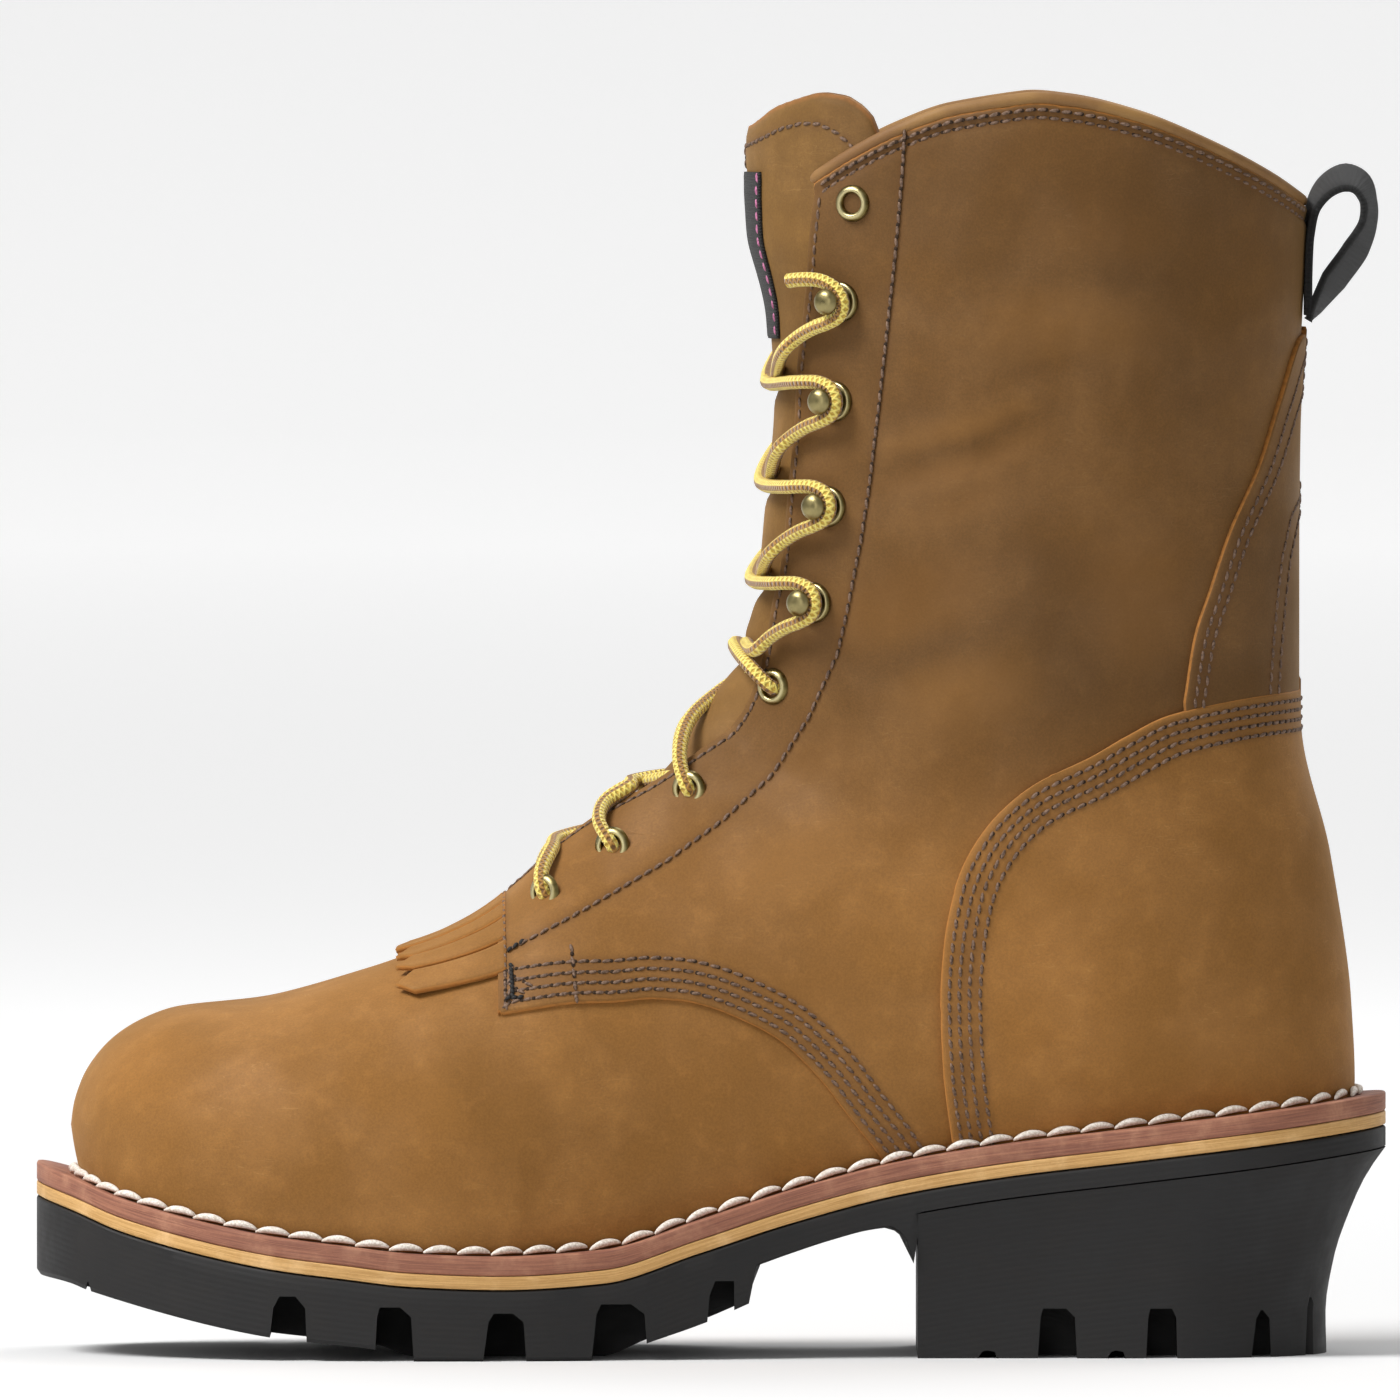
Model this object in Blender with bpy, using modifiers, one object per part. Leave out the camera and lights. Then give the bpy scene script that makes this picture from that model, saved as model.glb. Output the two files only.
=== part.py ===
"""A left logger boot: leather upper on a stitched welt, midsole, lugged outsole and high heel.

Metres, +Z up. The toe points along -X, the outer side faces -Y, and the sole stands on Z = 0.
The origin is on the floor, under the middle of the sole's length and greatest width.
"""

import math

import bmesh
import bpy
from mathutils import Matrix, Vector

# Driving dimensions
SOLE_LENGTH = 0.317
SOLE_WIDTH = 0.114
HEEL_HEIGHT = 0.0614
SHAFT_HEIGHT = 0.240
UPPER_WIDTH = 0.102
VAMP_WALL = 0.0018
QUARTER_STEP = 0.0012
OVERLAY = 0.0014
WELT = 0.0045
MIDSOLE = 0.0029
BASE = 0.0050
INSOLE_ABOVE_WELT = 0.0030
TONGUE = 0.0030
COLLAR_ROLL = 0.0021
GAP = 0.0003
TOE_ROUND = 0.072
HEEL_ROUND = 0.045
EYELET_HOLE = 0.0025
EYELET_FLANGE = 0.0042
EYELET_RISE = 0.0009
EYELET_DEPTH = 0.0030
EYELET_WALL = 0.0005
HOLE_DEPTH = 0.014
HOOK_BASE = 0.0047
HOOK_FOOT = 0.0012
HOOK_CAP = 0.0029
HOOK_CAP_EDGE = 0.0012
HOOK_CAP_THICK = 0.0018
HOOK_NECK = 0.0015
HOOK_REACH = 0.0074
LACE = 0.0034
LACE_ON_TONGUE = 0.0018
LACE_END = 0.0120
LOOP_WIDTH = 0.018
LOOP_LENGTH = 0.026
LABEL_THICK = 0.0007
# Cutters that open a side or an underside start this far outside it
CLEAR = 0.01

# How finely the last is divided, along it and around it
STATIONS = 23
AROUND = 11

# Height of the welt's top edge along the sole: place as a share of SOLE_LENGTH, height of HEEL_HEIGHT
RIDE = [
    (-0.50, 0.730),
    (-0.47, 0.677),
    (-0.44, 0.615),
    (-0.40, 0.556),
    (-0.36, 0.508),
    (-0.32, 0.470),
    (-0.27, 0.438),
    (-0.22, 0.409),
    (-0.155, 0.397),
    (-0.08, 0.419),
    (-0.01, 0.529),
    (0.06, 0.645),
    (0.14, 0.752),
    (0.215, 0.817),
    (0.31, 0.876),
    (0.40, 0.932),
    (0.50, 1.000),
]

# Sole outline: place as a share of SOLE_LENGTH, then the outer and inner half widths as shares of
# SOLE_WIDTH. The round ends are made by TOE_ROUND and HEEL_ROUND.
OUTLINE = [
    (-0.50, 0.400, 0.520),
    (-0.40, 0.445, 0.520),
    (-0.30, 0.485, 0.507),
    (-0.22, 0.500, 0.480),
    (-0.15, 0.492, 0.448),
    (-0.08, 0.462, 0.410),
    (0.00, 0.415, 0.370),
    (0.08, 0.378, 0.348),
    (0.16, 0.362, 0.345),
    (0.24, 0.362, 0.352),
    (0.32, 0.368, 0.360),
    (0.42, 0.368, 0.364),
    (0.50, 0.366, 0.366),
]
TOE_SHIFT = 0.07

# Sections of the last, from toe to collar. Each runs on a straight line from its near point (toe
# ridge, instep, front of the shaft) to its far point (underside, heel back, back of the shaft).
# Columns: near place, near height, far place, far height, shift to the inner side, outer half width,
# inner half width, how far along the width is greatest, and how square it is near and far.
# Places are shares of SOLE_LENGTH, heights above the welt line shares of SHAFT_HEIGHT, widths shares
# of UPPER_WIDTH.
SECTIONS = [
    (-0.475, 0.046, -0.475, 0.046, 0.080, 0.000, 0.000, 0.50, 2.2, 2.2),
    (-0.473, 0.066, -0.472, 0.024, 0.080, 0.115, 0.105, 0.50, 2.2, 2.2),
    (-0.467, 0.094, -0.464, -0.011, 0.078, 0.205, 0.185, 0.52, 2.3, 2.4),
    (-0.446, 0.144, -0.443, -0.036, 0.072, 0.330, 0.295, 0.58, 2.4, 3.0),
    (-0.403, 0.192, -0.403, -0.043, 0.060, 0.435, 0.385, 0.64, 2.4, 3.8),
    (-0.321, 0.230, -0.321, -0.040, 0.035, 0.515, 0.447, 0.68, 2.4, 4.4),
    (-0.245, 0.272, -0.245, -0.041, 0.012, 0.530, 0.463, 0.70, 2.3, 4.6),
    (-0.193, 0.306, -0.193, -0.042, 0.000, 0.518, 0.448, 0.71, 2.1, 4.6),
    (-0.157, 0.337, -0.152, -0.040, 0.000, 0.495, 0.420, 0.71, 2.0, 4.5),
    (-0.112, 0.394, -0.112, -0.039, 0.000, 0.458, 0.385, 0.70, 1.9, 4.4),
    (-0.075, 0.431, 0.014, -0.045, 0.000, 0.405, 0.362, 0.68, 1.9, 3.9),
    (-0.045, 0.450, 0.138, -0.050, 0.000, 0.378, 0.358, 0.64, 1.9, 3.5),
    (-0.021, 0.468, 0.236, -0.046, 0.000, 0.372, 0.366, 0.62, 1.9, 3.1),
    (-0.012, 0.479, 0.364, -0.049, 0.000, 0.372, 0.374, 0.60, 1.9, 2.6),
    (-0.004, 0.489, 0.452, -0.046, 0.000, 0.368, 0.374, 0.58, 1.9, 2.4),
    (0.004, 0.502, 0.468, 0.017, 0.000, 0.368, 0.375, 0.56, 1.9, 2.3),
    (0.013, 0.529, 0.465, 0.100, 0.000, 0.372, 0.380, 0.55, 1.9, 2.2),
    (0.021, 0.561, 0.450, 0.239, 0.000, 0.388, 0.396, 0.53, 1.9, 2.2),
    (0.028, 0.604, 0.428, 0.380, 0.000, 0.402, 0.412, 0.51, 2.0, 2.2),
    (0.034, 0.684, 0.428, 0.537, 0.000, 0.420, 0.428, 0.50, 2.0, 2.2),
    (0.040, 0.769, 0.429, 0.663, 0.000, 0.436, 0.440, 0.50, 2.0, 2.2),
    (0.037, 0.854, 0.434, 0.765, 0.000, 0.450, 0.450, 0.50, 2.0, 2.2),
    (0.024, 0.942, 0.437, 0.848, 0.000, 0.456, 0.454, 0.50, 2.0, 2.2),
    (0.018, 1.033, 0.439, 0.935, 0.000, 0.458, 0.456, 0.50, 2.0, 2.2),
    (0.016, 1.141, 0.442, 1.042, 0.000, 0.458, 0.456, 0.50, 2.0, 2.2),
]
# The section from which the shaft stands upright
SHAFT_STEP = 18.0

# Edges seen from the side: place as a share of SOLE_LENGTH, height above the welt line of SHAFT_HEIGHT
COLLAR_EDGE = [
    (0.075, 0.9715),
    (0.103, 0.9855),
    (0.140, 0.9995),
    (0.180, 1.0085),
    (0.232, 1.0095),
    (0.266, 1.0015),
    (0.317, 0.9775),
    (0.368, 0.9415),
    (0.412, 0.9035),
    (0.450, 0.8615),
]
QUARTER_EDGE = [
    (-0.157, 0.420),
    (-0.157, 0.284),
    (-0.155, 0.233),
    (-0.104, 0.241),
    (-0.056, 0.235),
    (-0.028, 0.222),
    (-0.001, 0.203),
    (0.025, 0.178),
    (0.051, 0.148),
    (0.080, 0.100),
    (0.105, 0.048),
    (0.124, 0.010),
    (0.140, -0.030),
]
COUNTER_EDGE = [
    (0.460, 0.404),
    (0.400, 0.406),
    (0.339, 0.399),
    (0.307, 0.384),
    (0.279, 0.367),
    (0.237, 0.346),
    (0.205, 0.312),
    (0.183, 0.264),
    (0.172, 0.204),
    (0.169, 0.147),
    (0.171, 0.080),
    (0.177, 0.012),
    (0.181, -0.030),
]
BACKSTAY_EDGE = [
    (0.446, 0.758),
    (0.432, 0.752),
    (0.415, 0.691),
    (0.401, 0.633),
    (0.379, 0.568),
    (0.365, 0.513),
    (0.355, 0.473),
    (0.347, 0.410),
]
TONGUE_EDGE = [
    (-0.160, 0.420),
    (-0.150, 0.290),
    (-0.100, 0.322),
    (-0.035, 0.365),
    (0.045, 0.412),
    (0.083, 0.490),
    (0.103, 0.600),
    (0.112, 0.720),
    (0.118, 0.860),
    (0.120, 0.960),
    (0.117, 1.020),
    (0.106, 1.042),
    (0.090, 1.058),
    (0.069, 1.068),
    (0.045, 1.067),
    (0.020, 1.052),
    (-0.020, 1.030),
]
# The label on the tongue: heights above the welt line at mid length and half width at its top, as
# shares of SHAFT_HEIGHT and UPPER_WIDTH, and how narrow its bottom is compared with its top
LABEL_TOP = 1.015
LABEL_BOTTOM = 0.852
LABEL_HALF = 0.150
LABEL_TAPER = 0.8

# Half of the throat's opening, as a share of UPPER_WIDTH, by height above the welt line at mid length
THROAT = [
    (0.318, 0.015),
    (0.326, 0.040),
    (0.352, 0.062),
    (0.400, 0.090),
    (0.445, 0.115),
    (0.500, 0.138),
    (0.570, 0.160),
    (0.640, 0.196),
    (0.720, 0.205),
    (0.790, 0.212),
    (0.870, 0.246),
    (0.940, 0.292),
    (1.020, 0.318),
    (1.250, 0.330),
]
# Front and back of the slot that opens the throat, and where the collar's roll starts around it
THROAT_SLOT = (-0.55, 0.20)
COLLAR_START = 0.80
COLLAR_FRONT_DROP = 0.004
# The kiltie seen from above: place as a share of SOLE_LENGTH and half width of UPPER_WIDTH
KILTIE_FRONT = -0.231
KILTIE_BACK = -0.159
KILTIE_HALF = 0.330
KILTIE_TEETH = 9
KILTIE_TOOTH = 0.0042
KILTIE_SLIT = 0.0007
KILTIE_ROOT = 0.012

# The pull loop from the side, in shares of LOOP_LENGTH: heights of its seat below the collar, then
# its outer line and its opening, as distance behind the boot and height
LOOP_SEAT = [-1.0, -0.7, -0.4, -0.1]
LOOP_OUTER = [
    (0.050, 0.00),
    (0.170, 0.24),
    (0.330, 0.37),
    (0.500, 0.37),
    (0.620, 0.27),
    (0.655, 0.12),
    (0.620, -0.09),
    (0.460, -0.42),
    (0.170, -0.79),
    (0.040, -1.00),
]
LOOP_OPENING = [
    (0.155, 0.00),
    (0.300, 0.15),
    (0.400, 0.16),
    (0.470, 0.10),
    (0.504, -0.09),
    (0.335, -0.38),
    (0.155, -0.56),
    (0.130, -0.26),
]

# Lace rows from bottom to top, place and height as for the edges: eyelets, hooks, the top eyelets
EYELET_ROWS = [(-0.121, 0.346), (-0.072, 0.386), (-0.015, 0.417), (0.048, 0.492)]
HOOK_ROWS = [(0.078, 0.564), (0.089, 0.654), (0.094, 0.755), (0.098, 0.851)]
TOP_EYELET = (0.106, 0.944)
# A lace round a hook, in shares of the turn's radius: distance behind the hook and above it
HOOK_BEHIND = (0.85, 0.55)
HOOK_BESIDE = (0.0, 1.05)
HOOK_BEFORE = (-1.6, 1.35)
HOOK_LEAVE = (-1.6, 1.50)
LACE_END_RISE = 1.6
# From a hook towards the tongue: steps of the last and share of the angle from its front
HOOK_INWARD_STEP = 3.53
HOOK_INWARD_ANGLE = 0.62
# From an eyelet over the throat's edge: steps of the last, share of the angle, lift above the edge
EYELET_LEAVE = [(0.1, 0.70, 0.0012), (0.2, 0.40, 0.0008)]
EYELET_ARRIVE = (-0.15, 0.16)
LACE_OVER_EDGE = 0.0004
LACE_INTO_THROAT = 0.0008

# Underside of the forefoot: place and height as shares of SOLE_LENGTH and HEEL_HEIGHT
TREAD = [
    (-0.50, 0.300),
    (-0.476, 0.280),
    (-0.459, 0.250),
    (-0.329, 0.092),
    (-0.297, 0.072),
    (-0.248, 0.045),
    (-0.219, 0.000),
    (-0.082, 0.000),
    (-0.047, 0.065),
    (-0.005, 0.140),
    (0.030, 0.218),
]
# Gaps between the forefoot lugs: front and back at the floor side, front and back at the top, top
TREAD_GAPS = [
    (-0.4640, -0.4565, -0.4610, -0.4600, 0.285),
    (-0.3270, -0.2972, -0.3180, -0.3060, 0.246),
    (-0.2478, -0.2189, -0.2440, -0.2290, 0.206),
    (-0.1679, -0.1361, -0.1600, -0.1460, 0.182),
    (-0.0880, -0.0466, -0.0810, -0.0590, 0.215),
    (-0.0052, 0.0170, 0.0030, 0.0170, 0.300),
]
HEEL_BREAST = 0.1525
HEEL_GAPS = [
    (0.1967, 0.2108, 0.2030, 0.2040, 0.030),
    (0.2411, 0.2700, 0.2450, 0.2620, 0.190),
    (0.2922, 0.3055, 0.2980, 0.2995, 0.030),
    (0.3210, 0.3440, 0.3240, 0.3400, 0.190),
    (0.3990, 0.4135, 0.4060, 0.4075, 0.180),
    (0.4395, 0.4475, 0.4425, 0.4440, 0.220),
]
# The heel block draws in towards the floor: share of its height from the top, back and side draw
HEEL_DRAW = [
    (0.00, 0.000, 0.000),
    (0.12, 0.040, 0.020),
    (0.28, 0.074, 0.040),
    (0.52, 0.110, 0.060),
    (0.80, 0.128, 0.075),
    (1.00, 0.126, 0.080),
]
# Underside of the arch between forefoot and heel
ARCH = [
    (0.030, 0.350),
    (0.060, 0.405),
    (0.090, 0.455),
    (0.118, 0.492),
    (0.132, 0.500),
    (0.1435, 0.455),
    (0.1505, 0.345),
]


def smooth(table, place, column=1):
    """A smooth curve through the rows of a table, which doesn't overshoot them."""
    if place <= table[0][0]:
        return table[0][column]
    if place >= table[-1][0]:
        return table[-1][column]
    i = max(k for k in range(len(table) - 1) if table[k][0] <= place)

    def slope(k):
        if k == 0 or k == len(table) - 1:
            k = min(max(k, 1), len(table) - 1)
            return (table[k][column] - table[k - 1][column]) / (table[k][0] - table[k - 1][0])
        before = (table[k][column] - table[k - 1][column]) / (table[k][0] - table[k - 1][0])
        after = (table[k + 1][column] - table[k][column]) / (table[k + 1][0] - table[k][0])
        return 0.0 if before * after <= 0 else 2 * before * after / (before + after)

    width = table[i + 1][0] - table[i][0]
    u = (place - table[i][0]) / width
    rise = table[i + 1][column] - table[i][column]
    start, end = slope(i) * width, slope(i + 1) * width
    bend = (3 * rise - 2 * start - end) * u**2
    return table[i][column] + start * u + bend + (start + end - 2 * rise) * u**3


def blend(rows, step, column):
    """A column of SECTIONS at a step between two rows."""
    return smooth([(k, row[column]) for k, row in enumerate(rows)], step)


def sole_top(x):
    return smooth(RIDE, x / SOLE_LENGTH) * HEEL_HEIGHT


def spot(place, height):
    """A point of the side view, from shares to metres."""
    x = place * SOLE_LENGTH
    return x, sole_top(x) + height * SHAFT_HEIGHT


def outline(x, inset=0.0):
    """The sole's outer and inner edge at x, drawn in by inset."""
    half_length = SOLE_LENGTH / 2 - inset
    place = x / SOLE_LENGTH
    outer = smooth(OUTLINE, place, 1) * SOLE_WIDTH - inset
    inner = smooth(OUTLINE, place, 2) * SOLE_WIDTH - inset
    toe = max(0.0, 1 - (x + half_length) / (TOE_ROUND - inset))
    heel = max(0.0, 1 - (half_length - x) / (HEEL_ROUND - inset))
    share = max(0.0, 1 - toe**2.35) ** (1 / 2.35) * max(0.0, 1 - heel**2.1) ** (1 / 2.1)
    middle = TOE_SHIFT * SOLE_WIDTH * toe**2
    return middle * 0.55 - outer * share, middle + inner * share


def section(step):
    """The near and far points and the shape of the last's section at a step along SECTIONS."""
    column = [blend(SECTIONS, step, k) for k in range(10)]
    near = spot(column[0], column[1])
    far = spot(column[2], column[3])
    widths = [value * UPPER_WIDTH for value in column[4:7]]
    return near, far, widths, column[7], column[8], column[9]


def last_point(step, angle, side):
    """A point of the last: angle 0 is the near point and pi the far one, side -1 outer, 1 inner."""
    near, far, (shift, outer, inner), widest, near_square, far_square = section(step)
    square = near_square if angle < math.pi / 2 else far_square
    reach = abs(math.cos(angle)) ** (2 / square)
    across = abs(math.sin(angle)) ** (2 / square)
    along = widest * (1 - reach) if angle < math.pi / 2 else widest + (1 - widest) * reach
    half = outer if side < 0 else inner
    x = near[0] + (far[0] - near[0]) * along
    z = near[1] + (far[1] - near[1]) * along
    return Vector((x, shift + side * half * across, z))


def last_normal(step, angle, side):
    d = 0.02
    along = last_point(step + d, angle, side) - last_point(step - d, angle, side)
    around = last_point(step, angle + d, side) - last_point(step, angle - d, side)
    return (along.cross(around) * side).normalized()


def locate(x, z):
    """The step and angle of the last at a place of the side view."""

    def off(step):
        near, far = section(step)[:2]
        return (far[0] - near[0]) * (z - near[1]) - (far[1] - near[1]) * (x - near[0])

    last = len(SECTIONS) - 1.0
    steps = [1.5 + (last - 1.5) * k / 60 for k in range(61)]
    low, high = steps[0], steps[-1]
    for one, two in zip(steps, steps[1:]):
        if off(one) * off(two) <= 0:
            low, high = one, two
            break
    for _ in range(30):
        middle = (low + high) / 2
        if off(low) * off(middle) <= 0:
            high = middle
        else:
            low = middle
    near, far, _, widest, near_square, far_square = section(low)
    run = (far[0] - near[0]) ** 2 + (far[1] - near[1]) ** 2
    along = ((x - near[0]) * (far[0] - near[0]) + (z - near[1]) * (far[1] - near[1])) / run
    along = min(max(along, 0.0), 1.0)
    if along < widest:
        angle = math.acos(min(1.0, (1 - along / widest) ** (near_square / 2)))
    else:
        angle = math.pi - math.acos(min(1.0, ((along - widest) / (1 - widest)) ** (far_square / 2)))
    return low, angle


def lifted(step, angle, side, lift):
    """A point off the last, and the outward normal there."""
    normal = last_normal(step, min(max(angle, 0.03), math.pi - 0.03), side)
    return last_point(step, angle, side) + normal * lift, normal


def skin(x, z, side, lift=0.0):
    return lifted(*locate(x, z), side, lift)


parts = bpy.data.collections.new("logger_boot")
cutters = bpy.data.collections.new("cutters")


def material(name, colour, roughness, metallic=0.0):
    made = bpy.data.materials.new(name)
    made.use_nodes = True
    shader = made.node_tree.nodes["Principled BSDF"]
    shader.inputs["Base Color"].default_value = (*colour, 1)
    shader.inputs["Roughness"].default_value = roughness
    shader.inputs["Metallic"].default_value = metallic
    return made


def finish(mesh_object, made, round_piece=True):
    """Makes an object a named piece of the boot."""
    parts.objects.link(mesh_object)
    mesh_object.data.materials.append(made)
    if round_piece:
        mesh_object.data.shade_smooth()
    return mesh_object


def cutter(mesh_object):
    cutters.objects.link(mesh_object)
    mesh_object.hide_render = True
    mesh_object.display_type = "WIRE"
    return mesh_object


def boolean(target, tool, operation):
    modifier = target.modifiers.new(tool.name, "BOOLEAN")
    modifier.operation = operation
    modifier.solver = "EXACT"
    modifier.object = tool
    return target


def mesh_object(name, bm):
    bmesh.ops.recalc_face_normals(bm, faces=bm.faces)
    mesh = bpy.data.meshes.new(name)
    bm.to_mesh(mesh)
    bm.free()
    return bpy.data.objects.new(name, mesh)


def form(name, offset):
    """The closed last, moved out by offset, as rings of points from toe to collar."""
    bm = bmesh.new()
    last = len(SECTIONS) - 1
    rings = []
    for k in range(1, STATIONS + 1):
        step = last * k / STATIONS
        ring = [last_point(step, math.pi * j / AROUND, -1) for j in range(AROUND + 1)]
        ring += [last_point(step, math.pi * j / AROUND, 1) for j in range(AROUND - 1, 0, -1)]
        rings.append([bm.verts.new(point) for point in ring])
    tip = bm.verts.new(last_point(0, 0, 1))
    count = 2 * AROUND
    for j in range(count):
        bm.faces.new((tip, rings[0][j], rings[0][(j + 1) % count]))
    for one, two in zip(rings, rings[1:]):
        for j in range(count):
            bm.faces.new((one[j], two[j], two[(j + 1) % count], one[(j + 1) % count]))
    bm.faces.new(rings[-1])
    bmesh.ops.triangulate(bm, faces=bm.faces, quad_method="FIXED")
    bmesh.ops.recalc_face_normals(bm, faces=bm.faces)
    bm.normal_update()
    moves = [(vert, vert.normal.copy()) for vert in bm.verts]
    for vert, normal in moves:
        vert.co += normal * offset
    return mesh_object(name, bm)


def prism(name, outlines, direction, depth, centre=0.0):
    """Closed outlines pushed straight through: 'side' outlines are (x, z) and run along Y, 'front'
    ones are (y, z) and run along X, and 'top' ones are (x, y) and run along Z."""
    curve = bpy.data.curves.new(name, "CURVE")
    curve.dimensions = "2D"
    curve.fill_mode = "BOTH"
    curve.extrude = depth / 2
    for points in outlines:
        spline = curve.splines.new("POLY")
        spline.points.add(len(points) - 1)
        for point, (a, b) in zip(spline.points, points):
            point.co = (a, b, 0, 1)
        spline.use_cyclic_u = True
    flat = bpy.data.objects.new(name, curve)
    bpy.context.scene.collection.objects.link(flat)
    bpy.context.view_layer.update()
    mesh = bpy.data.meshes.new_from_object(flat.evaluated_get(bpy.context.evaluated_depsgraph_get()))
    bpy.data.objects.remove(flat)
    bpy.data.curves.remove(curve)
    turn = {
        "side": Matrix(((1, 0, 0, 0), (0, 0, -1, centre), (0, 1, 0, 0), (0, 0, 0, 1))),
        "front": Matrix(((0, 0, 1, centre), (1, 0, 0, 0), (0, 1, 0, 0), (0, 0, 0, 1))),
        "top": Matrix(((1, 0, 0, 0), (0, 1, 0, 0), (0, 0, 1, centre), (0, 0, 0, 1))),
    }[direction]
    bm = bmesh.new()
    bm.from_mesh(mesh)
    bpy.data.meshes.remove(mesh)
    bmesh.ops.remove_doubles(bm, verts=bm.verts, dist=0.00001)
    bmesh.ops.transform(bm, matrix=turn, verts=bm.verts)
    return mesh_object(name, bm)


def side_prism(name, points):
    return cutter(prism(name, [points], "side", 3 * SOLE_WIDTH))


def line(edge, count=3):
    """A finer line through an edge's rows, in metres, with count pieces between two rows."""
    finer = []
    for k in range((len(edge) - 1) * count + 1):
        step = k / count
        finer.append(
            spot(
                smooth([(i, row[0]) for i, row in enumerate(edge)], step),
                smooth([(i, row[1]) for i, row in enumerate(edge)], step),
            )
        )
    return finer


def places(start, end, count):
    """Places from start to end that crowd towards both ends."""
    return [start + (end - start) * (1 - math.cos(math.pi * k / count)) / 2 for k in range(count + 1)]


def loft(name, stations, edges, top, bottom):
    """A plate between two heights that vary along x, with its edges at each station."""
    bm = bmesh.new()
    rings = []
    for x in stations:
        low, high = edges(x)
        if high - low < 0.0004:
            low, high = (low + high) / 2 - 0.0002, (low + high) / 2 + 0.0002
        corners = ((low, top(x)), (high, top(x)), (high, bottom(x)), (low, bottom(x)))
        rings.append([bm.verts.new((x, y, z)) for y, z in corners])
    for one, two in zip(rings, rings[1:]):
        for j in range(4):
            bm.faces.new((one[j], two[j], two[(j + 1) % 4], one[(j + 1) % 4]))
    bm.faces.new(rings[0])
    bm.faces.new(rings[-1])
    return mesh_object(name, bm)


def tube(name, points, radius):
    """A round cord through points, as a mesh with its ends closed."""
    curve = bpy.data.curves.new(name, "CURVE")
    curve.dimensions = "3D"
    curve.bevel_depth = radius
    curve.bevel_resolution = 2
    curve.use_fill_caps = True
    spline = curve.splines.new("POLY")
    spline.points.add(len(points) - 1)
    for point, place in zip(spline.points, points):
        point.co = (*place, 1)
    flat = bpy.data.objects.new(name, curve)
    bpy.context.scene.collection.objects.link(flat)
    bpy.context.view_layer.update()
    mesh = bpy.data.meshes.new_from_object(flat.evaluated_get(bpy.context.evaluated_depsgraph_get()))
    bpy.data.objects.remove(flat)
    bpy.data.curves.remove(curve)
    bm = bmesh.new()
    bm.from_mesh(mesh)
    bpy.data.meshes.remove(mesh)
    bmesh.ops.remove_doubles(bm, verts=bm.verts, dist=0.00001)
    return mesh_object(name, bm)


def through(points, count):
    """Points of a smooth curve through the given ones."""
    made = []
    for k in range(count):
        step = (len(points) - 1) * k / (count - 1)
        i = min(int(step), len(points) - 2)
        u = step - i
        p0, p1, p2, p3 = (points[min(max(i + j, 0), len(points) - 1)] for j in (-1, 0, 1, 2))
        made.append(
            0.5
            * (
                2 * p1
                + (p2 - p0) * u
                + (2 * p0 - 5 * p1 + 4 * p2 - p3) * u**2
                + (3 * p1 - p0 - 3 * p2 + p3) * u**3
            )
        )
    return made


def turned(name, profile, steps, ring=False):
    """A profile of (radius, height) turned about Z with a Screw modifier."""
    mesh = bpy.data.meshes.new(name)
    count = len(profile)
    edges = [(k, (k + 1) % count) for k in range(count if ring else count - 1)]
    mesh.from_pydata([(radius, 0, height) for radius, height in profile], edges, [])
    made = bpy.data.objects.new(name, mesh)
    screw = made.modifiers.new("turn", "SCREW")
    screw.axis = "Z"
    screw.steps = steps
    screw.render_steps = steps
    screw.use_merge_vertices = True
    screw.merge_threshold = 0.00001
    return made


def stand_on(piece, point, normal):
    """Turns a piece's Z axis to the normal and moves it to the point."""
    piece.matrix_world = Matrix.Translation(point) @ normal.to_track_quat("Z", "Y").to_matrix().to_4x4()


def gap_outlines(gaps):
    """Side outlines of the gaps between lugs, from their table."""
    outlines = []
    for front, back, top_front, top_back, height in gaps:
        height = height * HEEL_HEIGHT
        corner = 0.82 * height
        outlines.append(
            [
                (front * SOLE_LENGTH, -CLEAR),
                (back * SOLE_LENGTH, -CLEAR),
                ((back * 0.8 + top_back * 0.2) * SOLE_LENGTH, corner),
                (top_back * SOLE_LENGTH, height),
                (top_front * SOLE_LENGTH, height),
                ((front * 0.5 + top_front * 0.5) * SOLE_LENGTH, corner),
            ]
        )
    return outlines


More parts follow.
